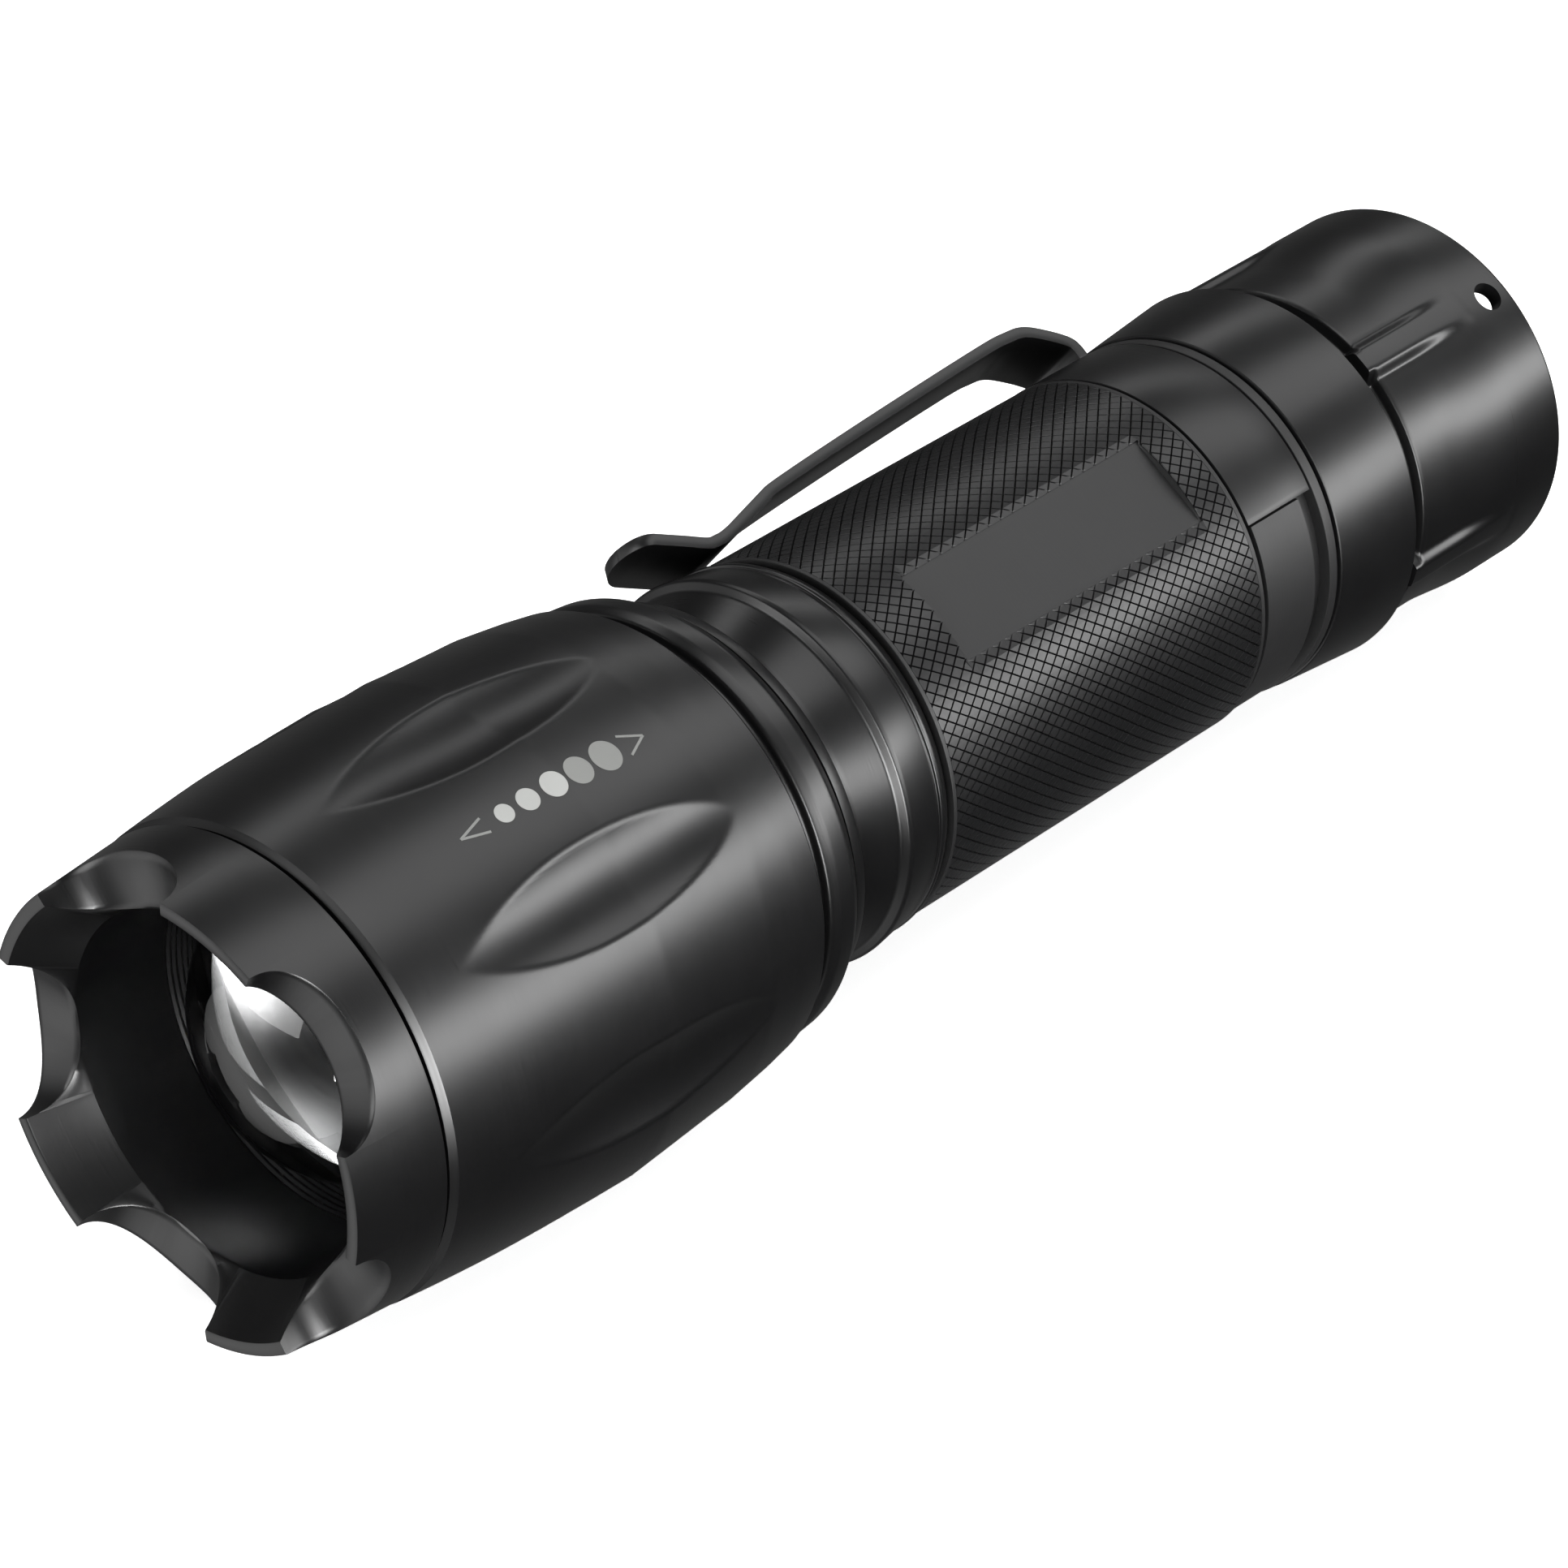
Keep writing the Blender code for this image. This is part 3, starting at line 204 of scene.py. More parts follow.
def turned(loop, angles=None, shape=None, closed=True):
    """An outline of (z, r) turned about the axis; shape may move a point at an angle."""
    angles = angles or even_angles(AROUND)
    mesh_data = bmesh.new()
    rings = []
    for z, r in loop:
        if r == 0.0:
            rings.append([mesh_data.verts.new(to_world(0.0, 0.0, z))])
            continue
        ring = []
        for angle in angles:
            z_at, r_at = shape(z, r, angle) if shape else (z, r)
            ring.append(mesh_data.verts.new(polar(r_at, angle, z_at)))
        rings.append(ring)
    pairs = list(zip(rings, rings[1:]))
    if closed and len(rings[0]) > 1:
        pairs.append((rings[-1], rings[0]))
    count = len(angles)
    for low, high in pairs:
        for k in range(count):
            n = (k + 1) % count
            corners = [low[k % len(low)], low[n % len(low)],
                       high[n % len(high)], high[k % len(high)]]
            mesh_data.faces.new([v for i, v in enumerate(corners) if v not in corners[:i]])
    return mesh_data


def straight(first, last, count):
    """Points on the line from one (z, r) point, left out, to another."""
    return [(first[0] + (last[0] - first[0]) * k / count, first[1] + (last[1] - first[1]) * k / count)
            for k in range(1, count + 1)]


def ease(t):
    """A share from 0 to 1 with a level start and end."""
    return t * t * (3 - 2 * t)


def clamped(value):
    return min(1.0, max(0.0, value))


def bridge(mesh_data, low, high):
    """Quads between two rings of as many vertices."""
    for k in range(len(low)):
        n = (k + 1) % len(low)
        mesh_data.faces.new((low[k], low[n], high[n], high[k]))


def skinned(mesh_data, rings):
    """A closed skin through a row of rings, with a face at each end."""
    for low, high in zip(rings, rings[1:]):
        bridge(mesh_data, low, high)
    mesh_data.faces.new(rings[0])
    mesh_data.faces.new(rings[-1])


def curve_rows(points, steps):
    """Evenly spaced points on a smooth curve through (z, r) points."""
    rows = []
    for i in range(len(points) - 1):
        p0 = Vector(points[max(i - 1, 0)])
        p1, p2 = Vector(points[i]), Vector(points[i + 1])
        p3 = Vector(points[min(i + 2, len(points) - 1)])
        for k in range(steps):
            t = k / steps
            p = 0.5 * (2 * p1 + (p2 - p0) * t + (2 * p0 - 5 * p1 + 4 * p2 - p3) * t * t
                       + (3 * p1 - p0 - 3 * p2 + p3) * t ** 3)
            rows.append((p.x, p.y))
    rows.append(tuple(points[-1]))
    return rows


def cut_with(item, cutter, operation="DIFFERENCE"):
    """Apply an exact Boolean at once and remove the cutter."""
    modifier = item.modifiers.new("cut", "BOOLEAN")
    modifier.operation = operation
    modifier.solver = "EXACT"
    modifier.object = cutter
    apply_all(item)
    bpy.data.objects.remove(cutter, do_unlink=True)


def apply_all(item):
    """Bake an object's modifiers into its mesh."""
    bpy.context.view_layer.update()
    graph = bpy.context.evaluated_depsgraph_get()
    mesh = bpy.data.meshes.new_from_object(item.evaluated_get(graph))
    item.modifiers.clear()
    item.data = mesh


def soften(item, width, segments=2, angle=35.0):
    """Round the sharp edges of a mesh by a real bevel, width in mm."""
    bevel = item.modifiers.new("edges", "BEVEL")
    bevel.width = width * MM
    bevel.segments = segments
    bevel.limit_method = "ANGLE"
    bevel.angle_limit = math.radians(angle)
    bevel.use_clamp_overlap = True
    apply_all(item)
    shade(item.data, 40.0)


def finish_piece(item, node, body):
    """Stand in for a CAD node and ride its body."""
    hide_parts(node)
    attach(item, body)
    return item


# ---- materials -------------------------------------------------------------------

def nodes_of(name):
    """A new material with its node tree and main shader."""
    material = bpy.data.materials.new(name)
    material.use_nodes = True
    tree = material.node_tree
    return material, tree, tree.nodes["Principled BSDF"]


def add_node(tree, kind, inputs=None, **settings):
    """A shader node with its settings; inputs are values or sockets to link."""
    node = tree.nodes.new(kind)
    for key, value in settings.items():
        setattr(node, key, value)
    for key, value in (inputs or {}).items():
        if isinstance(value, bpy.types.NodeSocket):
            tree.links.new(value, node.inputs[key])
        else:
            node.inputs[key].default_value = value
    return node


def place_of(tree):
    """Object coordinates, in metres."""
    return add_node(tree, "ShaderNodeTexCoord").outputs["Object"]


def noise(tree, vector, scale, detail=3.0, rough=0.55):
    return add_node(tree, "ShaderNodeTexNoise", {"Vector": vector, "Scale": scale, "Detail": detail,
                                                 "Roughness": rough}).outputs["Fac"]


def mapped(tree, value, low, high, to_low, to_high):
    return add_node(tree, "ShaderNodeMapRange", {"Value": value, "From Min": low, "From Max": high,
                                                 "To Min": to_low, "To Max": to_high}).outputs["Result"]


def tint(tree, factor, dark, light):
    node = add_node(tree, "ShaderNodeMix", data_type="RGBA")
    tree.links.new(factor, node.inputs[0])
    node.inputs[6].default_value = (*dark, 1.0)
    node.inputs[7].default_value = (*light, 1.0)
    return node.outputs[2]


def bump(tree, height, strength, distance, under=None):
    inputs = {"Height": height, "Strength": strength, "Distance": distance}
    if under is not None:
        inputs["Normal"] = under
    return add_node(tree, "ShaderNodeBump", inputs).outputs["Normal"]


def stretched(tree, vector, scale):
    return add_node(tree, "ShaderNodeVectorMath", {0: vector, 1: scale}, operation="MULTIPLY").outputs[0]


def anodised(name, dark, light, rough, turning=0.10, grain=0.10):
    """Black anodised aluminium: fine turning rings, micro grain and slight unevenness."""
    material, tree, shader = nodes_of(name)
    place = place_of(tree)
    cloud = noise(tree, place, 120.0, 4.0)
    rings = noise(tree, stretched(tree, place, (0.0, 1.0, 0.0)), 9000.0, 2.0)
    fine = noise(tree, place, 16000.0, 2.0)
    smudge = noise(tree, place, 45.0, 5.0, 0.65)
    tree.links.new(tint(tree, cloud, dark, light), shader.inputs["Base Color"])
    mixed = add_node(tree, "ShaderNodeMath", {0: smudge, 1: rings}, operation="ADD").outputs[0]
    tree.links.new(mapped(tree, mixed, 0.7, 1.3, rough - 0.05, rough + 0.06), shader.inputs["Roughness"])
    normal = bump(tree, rings, turning, 0.00002)
    tree.links.new(bump(tree, fine, grain, 0.00001, normal), shader.inputs["Normal"])
    shader.inputs["Metallic"].default_value = 0.0
    shader.inputs["IOR"].default_value = 1.62
    return material


def brushed(name, dark, light, rough, metallic=1.0, stretch=(1.0, 1.0, 1.0), scale=3000.0):
    """Bare or plated metal with fine machining streaks."""
    material, tree, shader = nodes_of(name)
    place = place_of(tree)
    streak = noise(tree, stretched(tree, place, stretch), scale, 3.0)
    tree.links.new(tint(tree, noise(tree, place, 300.0), dark, light), shader.inputs["Base Color"])
    tree.links.new(mapped(tree, streak, 0.3, 0.7, rough - 0.07, rough + 0.1), shader.inputs["Roughness"])
    tree.links.new(bump(tree, streak, 0.15, 0.00003), shader.inputs["Normal"])
    shader.inputs["Metallic"].default_value = metallic
    return material


def moulded(name, dark, light, rough, grain_size=0.00015, depth=0.00001, spec=0.5):
    """Moulded plastic or rubber with a fine surface grain."""
    material, tree, shader = nodes_of(name)
    place = place_of(tree)
    grain = noise(tree, place, 1.0 / grain_size, 3.0)
    tree.links.new(tint(tree, noise(tree, place, 200.0, 4.0), dark, light), shader.inputs["Base Color"])
    tree.links.new(mapped(tree, grain, 0.3, 0.7, rough - 0.05, rough + 0.07), shader.inputs["Roughness"])
    tree.links.new(bump(tree, grain, 0.3, depth), shader.inputs["Normal"])
    shader.inputs["Specular IOR Level"].default_value = spec
    return material


def clear_glass(name, rough):
    """Polished optical glass with the faintest surface haze."""
    material, tree, shader = nodes_of(name)
    place = place_of(tree)
    haze = noise(tree, place, 260.0, 4.0)
    tree.links.new(tint(tree, haze, (0.95, 0.97, 0.98), (1.0, 1.0, 1.0)), shader.inputs["Base Color"])
    tree.links.new(mapped(tree, haze, 0.3, 0.75, rough, rough + 0.02), shader.inputs["Roughness"])
    shader.inputs["Transmission Weight"].default_value = 1.0
    shader.inputs["IOR"].default_value = 1.5
    return material


M = {
    "body": anodised("body_anodised", (0.0022, 0.0022, 0.0024), (0.004, 0.004, 0.0043), 0.32),
    "knurl": anodised("knurl_anodised", (0.0025, 0.0025, 0.0028), (0.005, 0.005, 0.0054), 0.38, 0.03),
    "panel": anodised("panel_anodised", (0.0058, 0.0058, 0.006), (0.0078, 0.0078, 0.0082), 0.50, 0.03, 0.25),
    "clip": anodised("clip_coating", (0.0022, 0.0022, 0.0024), (0.004, 0.004, 0.0043), 0.36, 0.02, 0.16),
    "wire": brushed("spring_wire_plating", (0.50, 0.48, 0.42), (0.72, 0.69, 0.62), 0.24),
    "bare": brushed("turned_aluminium", (0.60, 0.61, 0.62), (0.78, 0.79, 0.80), 0.30, 1.0, (0.1, 1.0, 0.1)),
    "rubber": moulded("silicone_rubber", (0.010, 0.010, 0.010), (0.018, 0.018, 0.018), 0.62),
    "plastic": moulded("black_moulding", (0.018, 0.018, 0.019), (0.03, 0.03, 0.031), 0.45),
    "white": moulded("white_moulding", (0.70, 0.70, 0.68), (0.82, 0.82, 0.80), 0.42),
    "mark": moulded("light_marking", (0.27, 0.275, 0.265), (0.34, 0.345, 0.335), 0.50, 0.0001),
    "dim_mark": moulded("grey_marking", (0.15, 0.153, 0.147), (0.19, 0.194, 0.186), 0.50, 0.0001),
    "phosphor": moulded("yellow_phosphor", (0.80, 0.62, 0.06), (0.95, 0.78, 0.16), 0.55),
    "board": moulded("solder_mask", (0.010, 0.10, 0.04), (0.02, 0.16, 0.07), 0.32, 0.0004),
    "wrap": moulded("shrink_wrap", (0.03, 0.16, 0.42), (0.05, 0.22, 0.55), 0.30, 0.0008),
    "red": moulded("red_insulation", (0.40, 0.012, 0.012), (0.56, 0.03, 0.03), 0.40),
    "glass": clear_glass("lens_glass", 0.0),
    "dome": clear_glass("dome_silicone", 0.04),
}


# ---- turned pieces -----------------------------------------------------------------

def head_profile():
    """Outside of the sleeve from the rear collar to the bezel joint, as (z, r) rows."""
    z = HEAD_START
    collar = rounded([
        (z, 13.3), (z, 15.6), (z + 1.25, 15.95), (z + 1.25, 15.75), (z + 1.7, 15.75),
        (z + 1.7, 16.35), (z + 2.6, 16.95), (z + 4.2, 17.1), (z + 4.9, 16.75), (z + 5.0, 16.15),
        (z + 6.05, 16.15), (z + 6.1, 17.25), (z + 6.5, 17.6),
    ], 0.22, closed=False)
    shoulder, waist, belly = (z + 8.6, SHOULDER_R), (z + 12.4, WAIST_R), (BELLY_Z, BELLY_R)
    body = [shoulder] + straight(shoulder, waist, 12) + straight(waist, belly, 36)
    front = []
    steps = 70
    for k in range(1, steps + 1):
        t = k / steps
        front.append((BELLY_Z + (HEAD_END - 0.4 - BELLY_Z) * t, BELLY_R - 0.35 * t - 0.92 * t * t))
    return collar + body + front


def dimple(z, r, angle):
    """Surface radius where a finger dimple is scooped out: a leaf, sharper at the front."""
    middle = (DIMPLE_START + DIMPLE_END) / 2
    t = (z - middle) / (DIMPLE_END - DIMPLE_START) * 2
    if abs(t) >= 1.0 or r < 17.0:
        return z, r
    depth = DIMPLE_DEPTH * (1.0 - t * t) ** (DIMPLE_FRONT_TAPER if t > 0 else DIMPLE_REAR_TAPER)
    across = math.radians(from_centre(angle, DIMPLES, DIMPLE_ANGLE))
    centre = r - depth + DIMPLE_CUTTER
    inside = DIMPLE_CUTTER ** 2 - (centre * math.sin(across)) ** 2
    if inside <= 0.0:
        return z, r
    cut = centre * math.cos(across) - math.sqrt(inside)
    edge = DIMPLE_EDGE * min(1.0, depth / 0.3)
    mix = clamped(0.5 + (r - cut) / (2 * edge))
    return z, r + (cut - r) * mix - edge * mix * (1.0 - mix)


def build_head_sleeve():
    """Sliding sleeve with finger dimples outside and the lens and bezel seats inside."""
    stem_seat, lens_seat, lens_stop = STEM_START - GAP, LENS_START - GAP, LENS_START - 2.0
    bore_end = 90.0
    wiper_start, wiper_end = HEAD_START + WIPER_START, HEAD_START + WIPER_END
    inner = rounded([
        (HEAD_END, 17.4), (HEAD_END, STEM_BORE_R), (stem_seat, STEM_BORE_R), (stem_seat, LENS_BORE_R),
        (lens_seat, LENS_BORE_R), (lens_seat, LENS_STOP_R), (lens_stop, LENS_STOP_R),
        (lens_stop, SLEEVE_CAVITY_R), (bore_end, SLEEVE_CAVITY_R), (bore_end, SLEEVE_BORE_R),
        (wiper_end, SLEEVE_BORE_R), (wiper_end, WIPER_R), (wiper_start, WIPER_R),
        (wiper_start, SLEEVE_BORE_R),
    ], 0.12, closed=False)
    outline = head_profile()[1:] + inner
    sleeve = add_object("head_sleeve_shell", turned(outline, even_angles(464), dimple), M["body"],
                        sharp=30)
    return finish_piece(sleeve, "head_sleeve", "zoom_head")


def build_bezel():
    """Scalloped front ring with an inward cone and fine thread rings in its bore."""
    z0, z1 = STEM_START, LENGTH
    joint = HEAD_END + BEZEL_SEAM
    slope_out = (BEZEL_REAR_R - BEZEL_FRONT_R) / (z1 - joint)
    slope_in = (BEZEL_FRONT_R - BEZEL_RIM - BEZEL_BORE_R) / (z1 - BEZEL_CONE_Z)
    outer = rounded([(z0, BEZEL_BORE_R), (z0, BEZEL_STEM_R), (joint, BEZEL_STEM_R),
                     (joint, BEZEL_REAR_R),
                     (joint + 2.0, BEZEL_REAR_R - 2.0 * slope_out)], 0.18, closed=False)
    rim_out, rim_in = BEZEL_FRONT_R, BEZEL_FRONT_R - BEZEL_RIM
    rim = [(z1 - 0.14, rim_out), (z1 - 0.04, rim_out - 0.04), (z1, rim_out - 0.16),
           (z1, rim_in + 0.12), (z1 - 0.05, rim_in + 0.02), (z1 - 0.16, rim_in - 0.03)]
    inner = [(BEZEL_CONE_Z - 0.05, BEZEL_BORE_R + 0.02), (BEZEL_CONE_Z - 0.3, BEZEL_BORE_R)]
    for k in range(THREADS):
        z = STEM_START + 3.6 - THREAD_PITCH * k
        inner += [(z, BEZEL_BORE_R), (z - 0.2, BEZEL_BORE_R + THREAD_DEPTH), (z - 0.4, BEZEL_BORE_R)]

    def scallop(z, r, angle):
        aside = from_centre(angle, SCALLOPS, SCALLOP_ANGLE) / SCALLOP_HALF
        if z < z1 - 0.2 or abs(aside) >= 1.0:
            return z, r
        cut = SCALLOP_DEPTH * (1.0 - abs(aside) ** 2.4) ** 0.46
        t = (r - rim_in) / (rim_out - rim_in)
        low, high = rim_in - cut * slope_in, rim_out + cut * slope_out
        return z - cut, low + (high - low) * t

    cut_steps, land_steps = 22, 12
    offsets = [SCALLOP_HALF * math.sin(math.radians(90.0 * k / cut_steps))
               for k in range(-cut_steps, cut_steps + 1)]
    land = 360.0 / SCALLOPS - 2 * SCALLOP_HALF
    offsets += [SCALLOP_HALF + land * k / land_steps for k in range(1, land_steps)]
    angles = [SCALLOP_ANGLE + 360.0 * k / SCALLOPS + o for k in range(SCALLOPS) for o in offsets]
    ring = add_object("bezel_ring_fine", turned(outer + rim + inner, angles, scallop), M["body"],
                      sharp=30)
    return finish_piece(ring, "bezel_ring", "zoom_head")


def build_lens():
    """Thick condenser lens with a ground flange and a tall polished dome."""
    base = LENS_START + LENS_FLANGE
    height = LENS_END - base
    bevel = 0.15
    loop = [(LENS_START, 0.0), (LENS_START, 6.0), (LENS_START, LENS_FLANGE_R - bevel),
            (LENS_START + bevel, LENS_FLANGE_R), (base - bevel, LENS_FLANGE_R),
            (base, LENS_FLANGE_R - bevel), (base, 12.1)]
    steps = 48
    for k in range(1, steps + 1):
        a = math.radians(90.0 * k / steps)
        loop.append((base + height * math.sin(a), LENS_DOME_R * math.cos(a) if k < steps else 0.0))
    lens = add_object("condenser_lens", turned(loop, even_angles(160)), M["glass"], sharp=35)
    return finish_piece(lens, "aspheric_lens", "zoom_head")


def build_core():
    """Collar with its shiny band, then the neck that the sleeve slides on."""
    z0, z1 = span("head_core")
    collar = TUBE_END + GAP
    stop = span("travel_stop_ring")[0] - GAP
    loop = [
        (z0, CELL_BORE_R), (z0, CORE_SPIGOT_R), (collar, CORE_SPIGOT_R), (collar, 14.0),
        (collar + 0.95, 14.6), (collar + 1.25, 14.6), (collar + 1.3, 14.3), (collar + 1.55, 14.3),
        (collar + 1.6, 14.5), (collar + 4.7, 14.95), (collar + 4.95, 14.85), (collar + 5.3, 14.2),
        (collar + 8.0, NECK_R), (stop, NECK_R), (stop, NECK_STOP_R), (z1, NECK_STOP_R),
        (z1, CELL_BORE_R),
    ]
    core = add_object("head_core_fine", turned(rounded(loop, 0.16)), M["body"], sharp=30)
    return finish_piece(core, "head_core", "barrel")


def ribbed(z, r, angle):
    """Cap surface raised to a rib's height, with eased flanks and a short ramp."""
    if not RIB_START < z < RIB_END or r < CAP_GROOVE_R - 0.1:
        return z, r
    aside = abs(from_centre(angle, RIBS, RIB_ANGLE))
    side = clamped((RIB_HALF + RIB_SIDE / 2 - aside) / RIB_SIDE)
    end = clamped((z - RIB_START) / 0.4)
    return z, r + (RIB_R - r) * ease(side) * end


def cap_outline():
    """Outline of the cap, with close rows where the barrel tapers and carries the ribs."""
    start, end = CAP_GROOVE_START, CAP_GROOVE_END
    loop = rounded([
        (0.0, SKIRT_MOUTH_R), (0.0, 14.6), (0.3, CAP_REAR_R), (4.6, CAP_REAR_R), (start, CAP_FRONT_R),
        (start + 0.25, CAP_GROOVE_R), (RIB_END - 0.05, CAP_GROOVE_R), (RIB_END + 0.1, CAP_GROOVE_R),
        (end, CAP_GROOVE_R), (end, CAP_RING_R), (CAP_END, CAP_RING_END_R), (CAP_END, 12.9),
        (15.9, 12.9), (15.9, 11.2), (6.0, 11.2), (6.0, 7.3), (4.2, 7.3), (4.2, SKIRT_BORE_R),
        (3.7, SKIRT_BORE_R), (2.7, 13.45),
    ], 0.2)
    outline = []
    steps = 60
    for i, (z, r) in enumerate(loop):
        outline.append((z, r))
        z_next = loop[(i + 1) % len(loop)][0]
        if z < 5.0 < 15.0 < z_next and r > 14.0:
            for k in range(1, steps):
                t = k / steps
                drop = (CAP_REAR_R - CAP_FRONT_R) * ease(min(1.0, t * 1.5))
                outline.append((z + (z_next - z) * t, CAP_REAR_R - drop))
    return outline


def lanyard_cutter():
    """A round bar across the skirt's wall."""
    a = math.radians(LANYARD_ANGLE)
    hole = bmesh.new()
    sides = 40
    rings = []
    for reach in (-LANYARD_REACH, LANYARD_REACH):
        out = SKIRT_MOUTH_R + reach
        ring = []
        for k in range(sides):
            t = 2 * math.pi * k / sides
            side, up = LANYARD_R * math.cos(t), LANYARD_R * math.sin(t)
            ring.append(hole.verts.new(to_world(out * math.cos(a) - side * math.sin(a),
                                                out * math.sin(a) + side * math.cos(a), LANYARD_Z + up)))
        rings.append(ring)
    skinned(hole, rings)
    return add_object("lanyard_cutter", hole, M["body"])


def build_tail_cap():
    """Cap with five rounded ribs, a deep step and an open skirt."""
    foot = RIB_HALF + RIB_SIDE / 2
    flank_steps, rest_steps = 8, 40
    flank = [foot - RIB_SIDE * k / flank_steps for k in range(flank_steps + 1)]
    crown = [0.4 * RIB_HALF * k for k in (-1, 0, 1)]
    pitch = 360.0 / RIBS
    rest = [foot + (pitch - 2 * foot) * k / rest_steps for k in range(1, rest_steps)]
    offsets = [-o for o in flank] + crown + flank[::-1] + rest
    angles = [RIB_ANGLE + pitch * k + o for k in range(RIBS) for o in offsets]
    cap = add_object("tail_cap_fine", turned(cap_outline(), angles, ribbed), M["body"], sharp=30)
    cut_with(cap, lanyard_cutter())
    shade(cap.data, 30.0)
    return finish_piece(cap, "tail_cap", "tail_cap_shell")


def build_boot():
    """Rubber button cover with a shallow raised ring."""
    seat = BOOT_SEAT_Z
    outer = [(BOOT_TOP_Z, 0.0), (1.0, 2.0), (1.05, 3.0), (0.85, 3.3), (0.85, 3.7), (1.15, 4.0), (1.35, 5.0),
             (1.9, 6.1), (2.7, 6.75), (3.6, BOOT_R), (seat, BOOT_R)]
    loop = curve_rows(outer, 4) + [(seat, 10.9), (7.3, 10.9), (7.3, 6.0), (3.8, 6.0), (2.4, 4.2),
                                   (2.0, 0.0)]
    on_axis = 0.02
    loop = [(z, 0.0 if r < on_axis else r) for z, r in loop]
    boot = add_object("button_boot", turned(loop, even_angles(96)), M["rubber"], sharp=50)
    finish_piece(boot, "rubber_boot", "switch_module")
    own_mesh(boot)
    return boot


# ---- tube ----------------------------------------------------------------------------

def build_tube():
    """Plain tube body with the clip's groove and both label flats; the knurl lies on it."""
    z0 = span("battery_tube")[0]
    floor = TUBE_R - KNURL_DEPTH
    collar = CAP_END + GAP
    half = math.degrees(math.acos(PANEL_DISTANCE / floor))
    seal_start, seal_end = TUBE_SEAL_Z - TUBE_SEAL_HALF, TUBE_SEAL_Z + TUBE_SEAL_HALF
    groove = CLIP_START - GAP
    land = GROOVE_FLOOR_R + 0.01
    land_start, land_end = CLIP_START + 1.25, CLIP_END - 0.4
    loop = rounded([
        (z0, CELL_BORE_R), (z0, TUBE_SPIGOT_R), (seal_start, TUBE_SPIGOT_R), (seal_start, TUBE_SEAL_R),
        (seal_end, TUBE_SEAL_R), (seal_end, TUBE_SPIGOT_R), (collar, TUBE_SPIGOT_R), (collar, TUBE_R),
        (groove, TUBE_R), (groove, GROOVE_FLOOR_R),
    ], 0.1, closed=False)
    loop += [(land_start - 0.05, GROOVE_FLOOR_R), (land_start, land), (land_end, land),
             (land_end + 0.05, GROOVE_FLOOR_R), (KNURL_START, GROOVE_FLOOR_R),
             (KNURL_START, TUBE_R), (KNURL_START + 0.35, TUBE_R)]
    loop += [(KNURL_START + 0.4, floor), (PANEL_START, floor), (PANEL_START + 0.04, floor),
             (PANEL_START + 1.0, floor), (PANEL_END - 1.0, floor), (PANEL_END - 0.04, floor),
             (PANEL_END, floor), (TUBE_END - 0.35, floor)]
    thread_end = TUBE_END - 7.7
    loop += rounded([(TUBE_END - 0.3, TUBE_R), (TUBE_END, TUBE_R), (TUBE_END, FRONT_BORE_R),
                     (thread_end, FRONT_BORE_R), (thread_end, CELL_BORE_R)], 0.1, closed=False)

    def flattened(z, r, angle):
        aside = abs(from_centre(angle, 2, PANEL_ANGLE))
        if r == land and abs(from_centre(angle, 1, CLIP_ANGLE + 180.0)) < GROOVE_LAND_HALF:
            return z, GROOVE_LAND_R
        if not PANEL_START < z < PANEL_END or r != floor or aside > half + 0.01:
            return z, r
        return z, PANEL_DISTANCE / math.cos(math.radians(aside))

    flat_steps, round_steps = 12, 80
    offsets = [half * k / flat_steps for k in range(-flat_steps, flat_steps + 1)]
    offsets += [half + (180.0 - 2 * half) * k / round_steps for k in range(1, round_steps)]
    angles = [PANEL_ANGLE + 180.0 * k + o for k in range(2) for o in offsets]
    tube = add_object("battery_tube_fine", turned(loop, angles, flattened), M["panel"], sharp=25)
    return finish_piece(tube, "battery_tube", "barrel")


def knurl_cells(start, end):
    """Diamond cells around the tube: each has a flat land and four sloping sides."""
    half_angle = 180.0 / KNURL_STARTS      # half of a cell around the tube
    arc = math.radians(2 * half_angle) * TUBE_R
    half_z = arc / math.tan(math.radians(KNURL_HELIX)) / 2
    floor = TUBE_R - KNURL_DEPTH - 0.01
    cells = bmesh.new()
    crossings = {}

    def place(row, column):
        return column * half_angle, start + (row - 2) * half_z

    def crossing(row, column):
        """Where two grooves cross; columns count half cells around."""
        key = (row, column % (2 * KNURL_STARTS))
        if key not in crossings:
            angle, z = place(*key)
            crossings[key] = cells.verts.new(polar(floor, angle, z))
        return crossings[key]

    for row in range(int((end - start) / half_z) + 4):
        for k in range(KNURL_STARTS):
            column = 2 * k + (row % 2)
            corners = ((row - 1, column), (row, column + 1), (row + 1, column), (row, column - 1))
            low = [crossing(*corner) for corner in corners]
            top = []
            for row_at, column_at in corners:
                angle, z = place(row + (row_at - row) * KNURL_LAND,
                                 column + (column_at - column) * KNURL_LAND)
                top.append(cells.verts.new(polar(TUBE_R, angle, z)))
            cells.faces.new(top)
            bridge(cells, low, top)
    return cells


